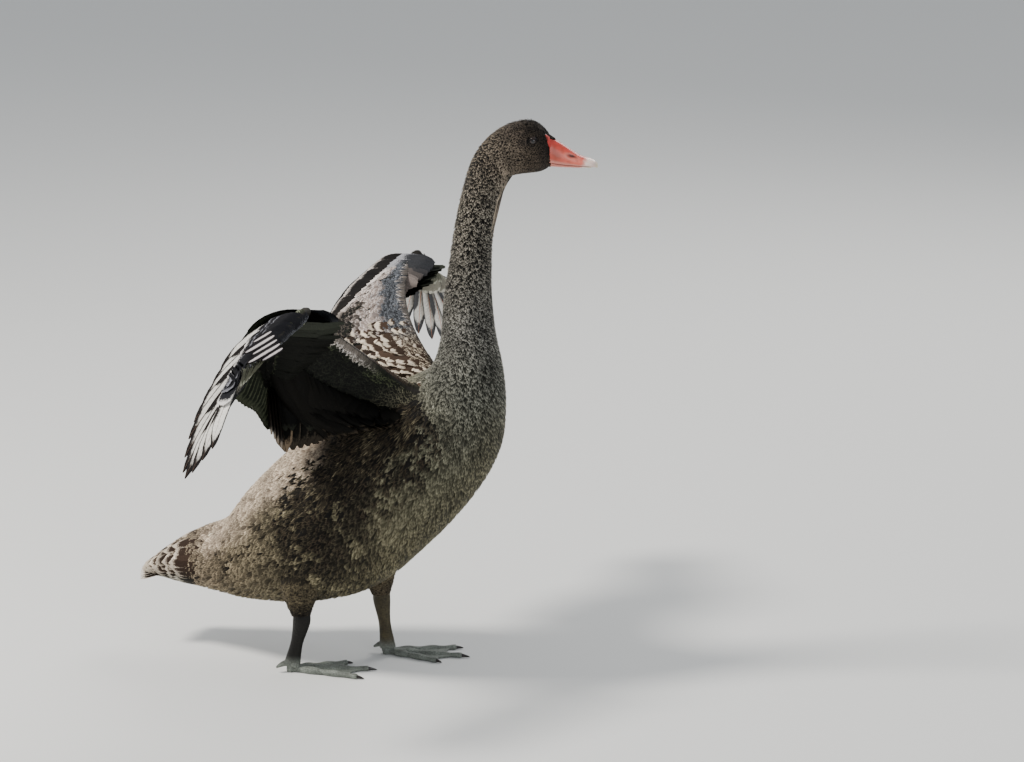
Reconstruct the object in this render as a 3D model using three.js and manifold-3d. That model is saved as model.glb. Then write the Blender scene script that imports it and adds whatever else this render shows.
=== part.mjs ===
// A young black swan, life size, standing with half-raised wings and its neck upright.
// Millimetres. The bird faces +X, its left side is +Y and the floor is z = 0.
import * as THREE from "three";
import { mergeVertices } from "three/addons/utils/BufferGeometryUtils.js";
import Module from "manifold-3d";

const wasm = await Module();
wasm.setup();

// Driving sizes.
const GAP = 0.3; // between nodes that touch
const VANE_THICKNESS = 0.9;
const HEAD_TURN = 20; // degrees the head looks to its left
const AROUND = 22; // sides of the trunk, neck and head

// The trunk from the tail's root to the bill's root. Each section has its middle (x, z),
// the direction of its back in degrees from +X, its half depth and its half width.
const TRUNK = [
  [-268, 119, 84, 19, 27],
  [-250, 124, 85, 30, 38],
  [-212, 133, 85, 43, 50],
  [-169, 141, 86, 56, 64],
  [-121, 165, 91, 84, 84],
  [-42, 201, 97, 113, 103],
  [37, 239, 101, 122, 109],
  [108, 294, 107, 110, 105],
  [157, 338, 117, 93, 93],
  [187, 375, 131, 76, 77],
  [199, 413, 150, 58, 59],
  [202, 450, 166, 46, 47],
  [200, 488, 178, 37, 39],
  [199, 534, 180, 33, 33],
  [202, 577, 178, 29, 29],
  [207, 621, 175, 26.5, 26.5],
  [217, 672, 171, 25.5, 25],
  [229, 707, 158, 27.5, 25.5],
  [241, 727, 134, 29.5, 26],
  [257, 739, 104, 33.5, 27],
  [275, 743.5, 99, 35, 27.5],
  [291, 744.5, 97, 34, 25.5],
  [303, 742.5, 93, 28.5, 20.5],
  [310.5, 739.5, 90, 21.5, 16],
];
const LAST = TRUNK.length - 1;

// Where the trunk is parted, as section numbers.
const PARTS = {
  tail: [0, 2.6],
  torso: [2.6, 10.4],
  neck_lower: [10.4, 13],
  neck_middle: [13, 15.4],
  neck_upper: [15.4, 17.6],
  head: [17.6, LAST],
};

// The bill: section x, culmen height, edge height and half width.
const UPPER_BILL = [
  [310.8, 759.5, 725.5, 15.4],
  [320, 753.3, 724, 14.8],
  [330, 747.1, 722.6, 13.8],
  [340, 740.6, 721.6, 13],
  [352, 733.4, 720.8, 12.4],
  [362, 730, 720.2, 11.6],
  [369, 727.4, 719, 9.6],
  [374, 722.8, 717.6, 5.4],
];
const LOWER_BILL = [
  [310.8, 724.6, 718, 13.4],
  [324, 722.2, 717.3, 12.4],
  [340, 720.6, 717, 11.6],
  [354, 719.7, 716.8, 10.4],
  [366, 718.6, 716.4, 6.6],
];
const NOSTRIL = { x: 338, y: 9.6, z: 736.6, length: 8, height: 3.6, depth: 2.4 };

const EYE = { x: 289.3, y: 20.1, z: 755.6, radius: 6.6 };
const LID = { y: 24.85, length: 7.6, height: 5.2, thickness: 1.5 };

// The joints of each wing, as for a left wing. The right one is held a little further forward.
const WINGS = {
  left: {
    side: 1,
    shoulder: new THREE.Vector3(137, 52, 400),
    elbow: new THREE.Vector3(-64, 92, 440),
    wrist: new THREE.Vector3(29, 198, 543),
    tip: new THREE.Vector3(-8, 345, 486),
  },
  right: {
    side: -1,
    shoulder: new THREE.Vector3(140, 52, 402),
    elbow: new THREE.Vector3(-38, 109, 418),
    wrist: new THREE.Vector3(54, 206, 541),
    tip: new THREE.Vector3(38, 354, 490),
  },
};
const LEADING_EDGE_BOW = new THREE.Vector3(-31, -15, 12);

// Rows of flight feathers. Each runs between two joints from share begin to share end, and a
// feather leaves its root along bends and ends at reaches, both measured from the root and
// given for feathers at even steps of the row. Widths are those of the first and last feather.
const FLIGHT_ROWS = {
  secondaries: {
    part: "arm", joints: ["wrist", "elbow"], begin: 0.05, end: 0.97, count: 11, widths: [30, 27],
    bends: [[-72, 8, 4], [-72, 6, 6], [-58, 0, 8], [-36, 0, 8], [-24, 0, 10]],
    reaches: [[-97, 20, -86], [-88, 15, -86], [-62, 10, -78], [-34, 6, -66], [-12, 0, -66]],
  },
  tertials: {
    part: "arm", joints: ["elbow", "shoulder"], begin: 0.1, end: 0.55, count: 4, widths: [26, 34],
    bends: [[-22, 0, 8], [-20, 0, 6], [-18, 0, 2]],
    reaches: [[-6, 0, -92], [-10, -4, -78], [-26, -8, -58]],
  },
  primaries: {
    part: "hand", joints: ["tip", "wrist"], begin: 0.03, end: 0.9, count: 10, widths: [18, 30],
    bends: [[2, 66, -28], [-24, 78, -54], [-48, 50, -38], [-58, 14, -14]],
    reaches: [[10, 106, -74], [-42, 138, -134], [-82, 90, -107], [-99, 30, -71]],
  },
};

// Tiers of coverts over the backs of the flight feathers. A covert starts in front of the flight
// feather's root, ends over share reach of that feather and lies above it by lift.
const COVERT_TIERS = [
  { over: "secondaries", count: 8, forward: 0.12, reach: 0.56, lift: 8, width: 29 },
  { over: "primaries", count: 6, forward: 0.04, reach: 0.4, lift: 7, width: 21 },
];
const ALULA = {
  count: 3, begin: 0.06, step: 0.07, width: 10, lift: 12,
  bend: [-26, 16, -4],
  reach: [-40, 46, -34],
};

// The scapulars: a row across the shoulder from share from to share to of the upper arm. They
// rise by height, run along way and come down by droop at their tips.
const SCAPULARS = {
  count: 5, from: 0.3, to: 0.95, height: 22, length: 66, width: 38, droop: 10,
  way: [-0.86, -0.34, -0.12],
  up: [-0.2, 0.25, 1],
  across: [0.3, -0.95, -0.1],
};

// The fleshy parts of a wing: half the thickness at the shoulder and at the wrist, how far the
// arm's flesh goes past its two edges at either end, and how far behind its middle it reaches.
const ARM = { thick: [22, 8], beyond: [13, 7], rear: 1.75 };
const HAND = { chord: 15, thick: 9, taper: 0.42, start: 0.03 };

// Vanes.
const WING_TILT = 16; // degrees a wing's vane leans under the neighbour that covers it
const TAIL_TILT = 12;
const VANE_STEPS = [0, 0.3, 0.6, 0.9, 1]; // where a vane is cut across
const VANE_OUTLINE = [0.45, 0.95, 1, 0.72, 0.2]; // its share of the full width there

// The tail's fan, and the rings of coverts that lie on the tail's root, from a section of the
// trunk to an oval of that half width and half depth at tip_x.
const TAIL_FAN = { count: 9, spread: 60, from: -38, to: 43, shorter: 9, gap: 12, sink: 12, width: 22 };
const TAIL_COVERTS = [
  { count: 8, section: 1.1, tip_x: -284, half_width: 32, half_depth: 8, width: 22 },
  { count: 8, section: 1.9, tip_x: -264, half_width: 37, half_depth: 19, width: 26 },
];

// The legs: foot, ankle and hip points, and the way each foot points in degrees.
const LEGS = {
  right: { side: -1, foot: [-42, -62], ankle: [-24, -66, 86], hip: [-30, -62, 150], toe_in: 24 },
  left: { side: 1, foot: [46, 64], ankle: [36, 66, 88], hip: [30, 62, 160], toe_in: -13 },
};
const FOOT_HEIGHT = 13;
const TOES = [
  // angle outwards in degrees, length
  [-21, 90],
  [0, 118],
  [22, 109],
];
const TOE_RADIUS = 4.6;
const TOE_KNUCKLES = 3;
const CLAW_SHARE = 0.14; // of a toe's length
const HIND_TOE = { points: [[2, 4, 15], [-12, 5, 12], [-22, 6, 7]], radii: [5, 4, 1.6] };
const WEB = { thickness: 2, reach: 0.86, scallop: 0.88, root: 5 };
const TARSUS = { radii: [12, 9, 13, 12], flatten: 0.72 };
const THIGH = { radii: [13, 24, 42], flatten: 0.85 };

// Shapes.
const radians = THREE.MathUtils.degToRad;

// Merges a geometry's shared vertices and returns it as a solid that faces out.
function solid(geometry) {
  geometry.deleteAttribute("normal");
  geometry.deleteAttribute("uv");
  const merged = mergeVertices(geometry, 1e-4);
  const triVerts = new Uint32Array(merged.index.array);
  const make = () =>
    new wasm.Manifold(
      new wasm.Mesh({ numProp: 3, vertProperties: merged.attributes.position.array, triVerts }),
    );
  const made = make();
  if (made.volume() > 0) return made;
  for (let i = 0; i < triVerts.length; i += 3)
    [triVerts[i + 1], triVerts[i + 2]] = [triVerts[i + 2], triVerts[i + 1]];
  return make();
}

// Moves every vertex of a geometry by a function.
function reshape(geometry, place) {
  const position = geometry.attributes.position;
  const point = new THREE.Vector3();
  for (let i = 0; i < position.count; i++) {
    point.fromBufferAttribute(position, i);
    const moved = place(point.clone());
    position.setXYZ(i, moved.x, moved.y, moved.z);
  }
  return geometry;
}

// A closed tube: place(t, angle, radius) gives the point at share t of its length, where the
// radius is 1 on the skin and 0 in the middle of either end.
function tube(around, along, place) {
  const geometry = new THREE.CylinderGeometry(1, 1, 1, around, along);
  return solid(
    reshape(geometry, (p) =>
      place(0.5 - p.y, Math.atan2(p.x, p.z), Math.min(1, Math.hypot(p.x, p.z))),
    ),
  );
}

// A thin closed plate about the surface that place(u, v) gives. Both of its faces are split into
// triangles alike.
const UNDERSIDE = 3; // the box's group of faces that look along -Y
function plate(across, along, thickness, place) {
  const geometry = new THREE.BoxGeometry(1, 1, 1, across, 1, along);
  const { start, count } = geometry.groups[UNDERSIDE];
  const index = geometry.index.array;
  for (let i = start; i < start + count; i += 6) {
    const [a, b, d, , c] = index.subarray(i, i + 6);
    index.set([a, b, c, a, c, d], i);
  }
  const step = 1e-3;
  return solid(
    reshape(geometry, (p) => {
      const [u, v] = [p.x + 0.5, p.z + 0.5];
      const [u0, u1] = [Math.max(0, u - step), Math.min(1, u + step)];
      const [v0, v1] = [Math.max(0, v - step), Math.min(1, v + step)];
      const du = place(u1, v).sub(place(u0, v));
      const dv = place(u, v1).sub(place(u, v0));
      const normal = du.cross(dv).normalize();
      return place(u, v).addScaledVector(normal, p.y * thickness);
    }),
  );
}

const union = (solids) => solids.reduce((all, s) => all.add(s));

// Keeps the largest closed surface of a solid.
function largest(made) {
  const bodies = made.decompose();
  return bodies.reduce((a, b) => (b.volume() > a.volume() ? b : a));
}

const swan = new THREE.Group();

// Adds a solid to a group as a named mesh.
function node(name, made, material, parent = swan) {
  const { vertProperties, numProp, triVerts } = largest(made).getMesh();
  const position = new Float32Array((vertProperties.length / numProp) * 3);
  for (let i = 0; i < position.length / 3; i++)
    position.set(vertProperties.subarray(i * numProp, i * numProp + 3), i * 3);
  const geometry = new THREE.BufferGeometry();
  geometry.setAttribute("position", new THREE.BufferAttribute(position, 3));
  geometry.setIndex(new THREE.BufferAttribute(new Uint32Array(triVerts), 1));
  geometry.computeVertexNormals();
  const mesh = new THREE.Mesh(geometry, material);
  mesh.name = name;
  parent.add(mesh);
}

const finish = (color, roughness) =>
  new THREE.MeshStandardMaterial({ color, roughness, metalness: 0 });
const PLUMAGE = finish(0x6f665d, 0.9);
const FLIGHT = finish(0x8d8983, 0.8);
const BILL = finish(0xd0564a, 0.45);
const LEG = finish(0x2a2726, 0.6);
const EYE_DARK = finish(0x120c0a, 0.1);

// Trunk, neck and head.
const middles = new THREE.CatmullRomCurve3(
  TRUNK.map(([x, z]) => new THREE.Vector3(x, 0, z)), false, "catmullrom", 0.5,
);
const girths = new THREE.CatmullRomCurve3(
  TRUNK.map(([, , tilt, depth, width]) => new THREE.Vector3(tilt, depth, width)),
  false, "catmullrom", 0.5,
);

// Turns a point of the head and upper neck about the neck's upright axis.
const NECK_AXIS_X = 226;
const TURN_FROM_Z = 590;
const TURN_TO_Z = 715;
function turned(p) {
  const share = THREE.MathUtils.smoothstep(p.z, TURN_FROM_Z, TURN_TO_Z);
  const angle = radians(HEAD_TURN) * share;
  const dx = p.x - NECK_AXIS_X;
  return new THREE.Vector3(
    NECK_AXIS_X + dx * Math.cos(angle) - p.y * Math.sin(angle),
    dx * Math.sin(angle) + p.y * Math.cos(angle),
    p.z,
  );
}

// A point of the trunk's surface at a section number. Angle 0 is the left side and 90 the back.
function trunkPoint(section, angle, radius = 1, grow = 0) {
  const at = section / LAST;
  const middle = middles.getPoint(at);
  const girth = girths.getPoint(at);
  const back = radians(girth.x);
  const up = (girth.y + grow) * Math.sin(angle) * radius;
  const out = (girth.z + grow) * Math.cos(angle) * radius;
  return turned(
    new THREE.Vector3(middle.x + up * Math.cos(back), out, middle.z + up * Math.sin(back)),
  );
}

const RINGS_PER_SECTION = 1.7;
function trunkPart([from, to], grow = 0) {
  const start = middles.getPoint(from / LAST);
  const sectionLength = start.distanceTo(middles.getPoint((from + 1) / LAST));
  const cutShare = from > 0 ? GAP / sectionLength : 0;
  const rings = Math.ceil((to - from) * RINGS_PER_SECTION);
  return tube(AROUND, rings, (t, angle, radius) =>
    trunkPoint(from + cutShare + (to - from - cutShare) * t, angle, radius, grow),
  );
}

// An ellipsoid in the head, which turns with it.
function ellipsoid(x, y, z, rx, ry, rz, around = 12, along = 8) {
  const geometry = new THREE.SphereGeometry(1, around, along);
  return solid(
    reshape(geometry, (p) =>
      turned(new THREE.Vector3(x + p.x * rx, y + p.y * ry, z + p.z * rz)),
    ),
  );
}

const LID_SIDES = [5, 14];
function lidRing(side) {
  const geometry = new THREE.TorusGeometry(1, LID.thickness / LID.length, ...LID_SIDES);
  return solid(
    reshape(geometry, (p) =>
      turned(
        new THREE.Vector3(
          EYE.x + p.x * LID.length,
          side * (LID.y + p.z * LID.length),
          EYE.z + p.y * LID.height,
        ),
      ),
    ),
  );
}

function head() {
  let made = trunkPart(PARTS.head);
  for (const side of [1, -1]) {
    made = made.add(lidRing(side));
    const r = EYE.radius + GAP;
    made = made.subtract(ellipsoid(EYE.x, side * EYE.y, EYE.z, r, r, r));
  }
  return made;
}

// One half of the bill between the two heights of its sections. The upper half rises from the
// mouth line as a dome and the lower half hangs from it.
const BILL_SIDES = [14, 9];
const BILL_DOME = 0.92; // the lower, the broader the ridge
function billHalf(sections, upper) {
  const point = (x, y, z) => new THREE.Vector3(x, y, z);
  const tops = new THREE.CatmullRomCurve3(sections.map(([x, top]) => point(x, 0, top)));
  const sides = new THREE.CatmullRomCurve3(sections.map(([x, , low, half]) => point(x, half, low)));
  return tube(...BILL_SIDES, (t, angle, radius) => {
    const top = tops.getPoint(t);
    const low = sides.getPoint(t);
    const [mouth, far] = upper ? [low.z, top.z] : [top.z, low.z];
    const dome = Math.max(0, upper ? Math.sin(angle) : -Math.sin(angle));
    const rise = (far - mouth) * Math.pow(dome, BILL_DOME) * radius;
    return turned(point(low.x, low.y * Math.cos(angle) * radius, mouth + rise));
  });
}

function upperBill() {
  const { x, y, z, length, height, depth } = NOSTRIL;
  let made = billHalf(UPPER_BILL, true);
  for (const side of [1, -1])
    made = made.subtract(ellipsoid(x, side * y, z, length / 2, depth, height / 2, 10, 6));
  return made;
}

// One feather: shaft(v) gives its shaft, side(v) the way across it, towards the feather that
// covers it, and back the way that its upper face looks. It leans by tilt degrees.
function vane(shaft, side, back, width, tilt = WING_TILT) {
  const lean = Math.tan(radians(tilt));
  const last = VANE_STEPS.length - 1;
  return plate(1, last, VANE_THICKNESS, (u, v) => {
    const k = Math.min(Math.floor(v * last), last - 1);
    const between = (list) => THREE.MathUtils.lerp(list[k], list[k + 1], v * last - k);
    const step = between(VANE_STEPS);
    const half = (u - 0.5) * width * between(VANE_OUTLINE);
    const [v0, v1] = [Math.max(0, step - 0.01), Math.min(1, step + 0.01)];
    const along = shaft(v1).sub(shaft(v0)).normalize();
    const out = side(step);
    out.addScaledVector(along, -out.dot(along)).normalize();
    const up = along.clone().cross(out);
    up.multiplyScalar(Math.sign(up.dot(back(step))));
    return shaft(step).addScaledVector(out, half).addScaledVector(up, -half * lean);
  });
}

// The fan of tail feathers, the middle ones on top.
const TAIL_END = new THREE.Vector3(-262, 0, 119);
const TAIL_DROOP = 0.3; // how far it comes down over each millimetre of its length
function tailFan() {
  const { count, spread, from, to, shorter, gap, sink, width } = TAIL_FAN;
  return Array.from({ length: count }, (_, i) => {
    const place = (i + 0.5) / count - 0.5;
    const angle = radians(place * spread);
    const fold = Math.abs(place) * 2;
    const shaft = (v) => {
      const reach = THREE.MathUtils.lerp(from, to - shorter * fold, v);
      return new THREE.Vector3(
        TAIL_END.x - reach * Math.cos(angle),
        (reach - from) * Math.sin(angle) * 0.9 + place * gap,
        TAIL_END.z - reach * TAIL_DROOP - sink * fold * fold,
      );
    };
    const side = () => new THREE.Vector3(0, place < 0 ? 1 : -1, 0.35 * fold);
    const tilt = Math.sign(Math.abs(Math.round(place * count))) * TAIL_TILT;
    return vane(shaft, side, () => new THREE.Vector3(0, 0, 1), width, tilt);
  });
}

const COVERT_KNEE = 0.6; // of a section behind the covert's root
function tailCoverts({ count, section, tip_x, half_width, half_depth, width }) {
  return Array.from({ length: count }, (_, i) => {
    const angle = ((i + 0.5) / count) * Math.PI * 2;
    const root = trunkPoint(section, angle, 0.9);
    const knee = trunkPoint(section - COVERT_KNEE, angle, 1, VANE_THICKNESS * 3);
    const droop = (TAIL_END.x - tip_x) * TAIL_DROOP;
    const tip = new THREE.Vector3(
      tip_x, half_width * Math.cos(angle), TAIL_END.z - droop + half_depth * Math.sin(angle),
    );
    const curve = new THREE.QuadraticBezierCurve3(root, knee, tip);
    const out = new THREE.Vector3(0, Math.cos(angle), Math.sin(angle));
    const side = () => new THREE.Vector3(0, Math.sin(angle), -Math.cos(angle));
    return vane((v) => curve.getPoint(v), side, () => out, width, TAIL_TILT);
  });
}

// Wings. Every shape is made for a left wing and set on its side by onSide.
const onSide = (p, side) => new THREE.Vector3(p.x, p.y * side, p.z);
const mix = (a, b, t) => a.clone().lerp(b, t);
const toward = (direction) => new THREE.Vector3(...direction).normalize();
const alongRow = (list, u) =>
  new THREE.CatmullRomCurve3(list.map((p) => new THREE.Vector3(...p))).getPoint(u);

// The fleshy arm and the skin web in front of it, from shoulder to wrist.
function armCore({ side, shoulder, elbow, wrist }) {
  const middle = mix(shoulder, wrist, 0.5);
  const dorsal = wrist.clone().sub(shoulder).cross(elbow.clone().sub(shoulder)).normalize();
  const lead = (t) => mix(shoulder, wrist, t).addScaledVector(LEADING_EDGE_BOW, 4 * t * (1 - t));
  const rear = new THREE.QuadraticBezierCurve3(shoulder, mix(middle, elbow, ARM.rear), wrist);
  return tube(10, 8, (t, angle, radius) => {
    const inner = THREE.MathUtils.clamp(t, 0.05, 0.95);
    const chord = lead(inner).sub(rear.getPoint(inner));
    const half = chord.length() / 2 + THREE.MathUtils.lerp(...ARM.beyond, t);
    const thick = THREE.MathUtils.lerp(...ARM.thick, Math.pow(t, 0.6));
    const p = mix(lead(t), rear.getPoint(t), 0.5);
    p.addScaledVector(chord.normalize(), Math.cos(angle) * half * radius);
    p.addScaledVector(dorsal, Math.sin(angle) * thick * radius);
    return onSide(p, side);
  });
}

// The point at share v of the length of the feather at share u of its row.
function featherPoint(row, wing, u, v) {
  const [from, to] = row.joints.map((joint) => wing[joint]);
  const root = mix(from, to, THREE.MathUtils.lerp(row.begin, row.end, u));
  const bend = alongRow(row.bends, u);
  const reach = alongRow(row.reaches, u);
  return new THREE.QuadraticBezierCurve3(new THREE.Vector3(), bend, reach).getPoint(v).add(root);
}

// The way along a row at one of its feathers, and the way up from the wing's back there.
function rowWay(row, wing, u, v) {
  const [u0, u1] = [Math.max(0, u - 0.05), Math.min(1, u + 0.05)];
  return featherPoint(row, wing, u1, v).sub(featherPoint(row, wing, u0, v)).normalize();
}
function rowUp(row, wing, u, v) {
  const [v0, v1] = [Math.max(0, v - 0.05), Math.min(1, v + 0.05)];
  const along = featherPoint(row, wing, u, v1).sub(featherPoint(row, wing, u, v0));
  return along.cross(rowWay(row, wing, u, v)).normalize();
}

function flightFeathers(row, wing) {
  return Array.from({ length: row.count }, (_, i) => {
    const u = i / (row.count - 1);
    const width = THREE.MathUtils.lerp(row.widths[0], row.widths[1], u);
    const shaft = (v) => onSide(featherPoint(row, wing, u, v), wing.side);
    const side = (v) => onSide(rowWay(row, wing, u, v), wing.side);
    const back = (v) => onSide(rowUp(row, wing, u, v), wing.side);
    return vane(shaft, side, back, width);
  });
}

function coverts({ over, count, forward, reach, lift, width }, wing) {
  const row = FLIGHT_ROWS[over];
  return Array.from({ length: count }, (_, i) => {
    const u = (i + 0.5) / count;
    const root = featherPoint(row, wing, u, 0);
    const ahead = root.clone().sub(featherPoint(row, wing, u, forward));
    const shaft = (v) => {
      const at = THREE.MathUtils.lerp(-forward, reach, v);
      const before = root.clone().addScaledVector(ahead, -at / forward);
      const p = at < 0 ? before : featherPoint(row, wing, u, at);
      const rise = lift * Math.min(1, 0.2 + 2.5 * v);
      return onSide(p.addScaledVector(rowUp(row, wing, u, Math.max(0, at)), rise), wing.side);
    };
    const side = (v) => onSide(rowWay(row, wing, u, reach * v), wing.side);
    const back = (v) => onSide(rowUp(row, wing, u, reach * v), wing.side);
    return vane(shaft, side, back, width);
  });
}

function alula(wing) {
  const { count, begin, step, bend, reach, width, lift } = ALULA;
  const up = rowUp(FLIGHT_ROWS.primaries, wing, 0.3, 0.2);
  return Array.from({ length: count }, (_, i) => {
    const root = mix(wing.wrist, wing.tip, begin + step * i).addScaledVector(up, lift * 0.4);
    const middle = root.clone().add(new THREE.Vector3(...bend)).addScaledVector(up, lift);
    const end = root.clone().add(new THREE.Vector3(...reach)).addScaledVector(up, lift);
    const curve = new THREE.QuadraticBezierCurve3(root, middle, end);
    const shaft = (v) => onSide(curve.getPoint(v), wing.side);
    const side = () => onSide(wing.wrist.clone().sub(wing.tip), wing.side);
    return vane(shaft, side, () => onSide(up, wing.side), width);
  });
}

function scapulars({ side: hand, shoulder, elbow }) {
  const { count, from, to, height, length, width, droop } = SCAPULARS;
  const [way, up, across] = [SCAPULARS.way, SCAPULARS.up, SCAPULARS.across].map(toward);
  return Array.from({ length: count }, (_, i) => {
    const t = THREE.MathUtils.lerp(from, to, i / (count - 1));
    const root = mix(shoulder, elbow, t).addScaledVector(up, height * 0.5);
    const middle = root.clone().addScaledVector(way, length * 0.55);
    middle.addScaledVector(up, height * 0.6);
    const end = root.clone().addScaledVector(way, length).addScaledVector(up, -droop);
    const curve = new THREE.QuadraticBezierCurve3(root, middle, end);
    const shaft = (v) => onSide(curve.getPoint(v), hand);
    const side = () => onSide(across, hand);
    return vane(shaft, side, () => onSide(up, hand), width, TAIL_TILT);
  });
}

const HAND_REAR = [-0.5, 0.1, -0.6]; // the way to the hand's rear edge
function handCore({ side, wrist, tip }) {
  const along = tip.clone().sub(wrist);
  const chord = toward(HAND_REAR).cross(along).cross(along).normalize();
  const thick = along.clone().cross(chord).normalize();
  return tube(8, 4, (t, angle, radius) => {
    const size = THREE.MathUtils.lerp(1, HAND.taper, t) * radius;
    const p = mix(wrist, tip, HAND.start + t);
    p.addScaledVector(chord, Math.cos(angle) * HAND.chord * size);
    p.addScaledVector(thick, Math.sin(angle) * HAND.thick * size);
    return onSide(p, side);
  });
}

// Everything on the hand side of the wrist is the hand's, and the rest is the arm's.
const WRIST_LEAN = new THREE.Vector3(60, 0, 60);
function wristBlock({ side, wrist, tip }, offset) {
  const out = tip.clone().sub(wrist).add(WRIST_LEAN).normalize();
  const block = new THREE.BoxGeometry(800, 800, 400);
  block.translate(0, 0, 200 + offset);
  const turn = new THREE.Quaternion().setFromUnitVectors(new THREE.Vector3(0, 0, 1), out);
  return solid(reshape(block, (p) => onSide(p.applyQuaternion(turn).add(wrist), side)));
}

// Legs and feet. A limb follows points with the radii given at even steps, and is narrower from
// side to side by the share flatten. place moves each of its points.
function limb(points, radii, sides, flatten = 1, place = (p) => p) {
  const curve = new THREE.CatmullRomCurve3(points.map((p) => new THREE.Vector3(...p)));
  const sizes = new THREE.CatmullRomCurve3(radii.map((r) => new THREE.Vector3(r, 0, 0)));
  return tube(...sides, (t, angle, radius) => {
    const p = curve.getPoint(t);
    const r = sizes.getPoint(t).x * radius;
    const front = new THREE.Vector3(0, 1, 0).cross(curve.getTangent(t)).normalize();
    p.addScaledVector(front, Math.cos(angle) * r);
    p.y += Math.sin(angle) * r * flatten;
    return place(p);
  });
}

function belowFloor() {
  const block = new THREE.BoxGeometry(2000, 2000, 100);
  block.translate(0, 0, -50);
  return solid(block);
}

function foot({ side, foot: [x, y], toe_in }) {
  const heading = radians(-side * toe_in);
  const place = (p) => {
    const [px, py] = [p.x, p.y * side];
    return new THREE.Vector3(
      x + px * Math.cos(heading) - py * Math.sin(heading),
      y + px * Math.sin(heading) + py * Math.cos(heading),
      p.z,
    );
  };
  const toes = TOES.map(([angle, length]) => {
    const way = new THREE.Vector3(Math.cos(radians(angle)), Math.sin(radians(angle)), 0);
    const aside = new THREE.Vector3(-way.y, way.x, 0);
    return tube(6, 7, (t, a, radius) => {
      const knuckle = 1 + 0.16 * Math.cos(t * Math.PI * 2 * TOE_KNUCKLES);
      const claw = 0.25 + 0.75 * Math.min(1, (1 - t) / CLAW_SHARE);
      const r = TOE_RADIUS * (1.25 - 0.45 * t) * knuckle * claw * radius;
      const p = way.clone().multiplyScalar(-6 + (length + 6) * t);
      p.addScaledVector(aside, Math.cos(a) * r);
      p.z = TOE_RADIUS * 0.8 * (1.2 - 0.5 * t) + Math.sin(a) * r;
      return place(p);
    });
  });
  const ends = TOES.map(([angle, length]) => {
    const way = new THREE.Vector2(Math.cos(radians(angle)), Math.sin(radians(angle)));
    return way.multiplyScalar(length * WEB.reach);
  });
  const outline = new THREE.Shape();
  outline.moveTo(0, -WEB.root);
  outline.lineTo(ends[0].x, ends[0].y);
  for (const [a, b] of [[ends[0], ends[1]], [ends[1], ends[2]]]) {
    const middle = a.clone().add(b).multiplyScalar(0.5 * WEB.scallop);
    outline.quadraticCurveTo(middle.x, middle.y, b.x, b.y);
  }
  outline.lineTo(0, WEB.root);
  const size = { depth: WEB.thickness, bevelEnabled: false, curveSegments: 5 };
  const web = solid(reshape(new THREE.ExtrudeGeometry(outline, size), place));
  const hind = limb(HIND_TOE.points, HIND_TOE.radii, [8, 4], 1, place);
  return union([...toes, web, hind]).subtract(belowFloor());
}

// The tarsus goes up from the foot to the ankle, thicker at both, and grow makes it thicker.
function tarsus({ foot: [fx, fy], ankle: [ax, ay, az] }, grow = 0) {
  const points = [
    [fx, fy, FOOT_HEIGHT - 4],
    [(fx + ax) / 2, (fy + ay) / 2, az / 2],
    [ax, ay, az - 8],
    [ax, ay, az + 4],
  ];
  return limb(points, TARSUS.radii.map((r) => r + grow), [10, 5], TARSUS.flatten);
}

function thigh({ ankle: [ax, ay, az], hip: [hx, hy, hz] }) {
  const points = [
    [ax - 1, ay, az + 6],
    [(ax + hx) / 2, (ay + hy) / 2, (az + hz) / 2 - 8],
    [hx, hy, hz],
  ];
  return limb(points, THIGH.radii, [12, 6], THIGH.flatten);
}

// The nodes of the trunk, neck and head.
const torso = trunkPart(PARTS.torso);
const behindTorso = trunkPart(PARTS.torso, GAP);
const tailFeathers = [...tailFan(), ...TAIL_COVERTS.flatMap(tailCoverts)];
const tail = union([trunkPart(PARTS.tail), ...tailFeathers]);
node("tail", tail.subtract(behindTorso), PLUMAGE);
node("torso", torso, PLUMAGE);
for (const name of ["neck_lower", "neck_middle", "neck_upper"])
  node(name, trunkPart(PARTS[name]), PLUMAGE);
node("head", head(), PLUMAGE);
node("bill_upper", upperBill(), BILL);
node("bill_lower", billHalf(LOWER_BILL, false), BILL);

// The nodes of each side. Wings and thighs stand clear of the trunk by the gap.
const body = behindTorso.add(trunkPart(PARTS.neck_lower, GAP));
for (const [name, wing] of Object.entries(WINGS)) {
  const r = EYE.radius;
  node("eye_" + name, ellipsoid(EYE.x, wing.side * EYE.y, EYE.z, r, r, r), EYE_DARK);

  const rows = (part) => Object.values(FLIGHT_ROWS).filter((row) => row.part === part);
  const tiers = (part) => COVERT_TIERS.filter(({ over }) => FLIGHT_ROWS[over].part === part);
  const feathers = (part) => [
    ...rows(part).flatMap((row) => flightFeathers(row, wing)),
    ...tiers(part).flatMap((tier) => coverts(tier, wing)),
  ];
  const arm = union([armCore(wing), ...feathers("arm"), ...scapulars(wing)]);
  node("wing_" + name + "_arm", arm.subtract(body).subtract(wristBlock(wing, -GAP)), FLIGHT);
  const hand = union([handCore(wing), ...feathers("hand"), ...alula(wing)]);
  node("wing_" + name + "_hand", hand.intersect(wristBlock(wing, 0)), FLIGHT);

  const leg = LEGS[name];
  const paddle = foot(leg);
  node("foot_" + name, paddle, LEG);
  node("tarsus_" + name, tarsus(leg).subtract(paddle.add(belowFloor())), LEG);
  node("thigh_" + name, thigh(leg).subtract(body.add(tarsus(leg, GAP))), PLUMAGE);
}

// The origin is under the middle of the bird's box, on the floor.
const box = new THREE.Box3().setFromObject(swan);
const centre = box.getCenter(new THREE.Vector3());
swan.position.set(-centre.x, -centre.y, -box.min.z);

export default swan;
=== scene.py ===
"""A young black swan, life size, with fine feathers over one skin."""
import math

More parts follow.
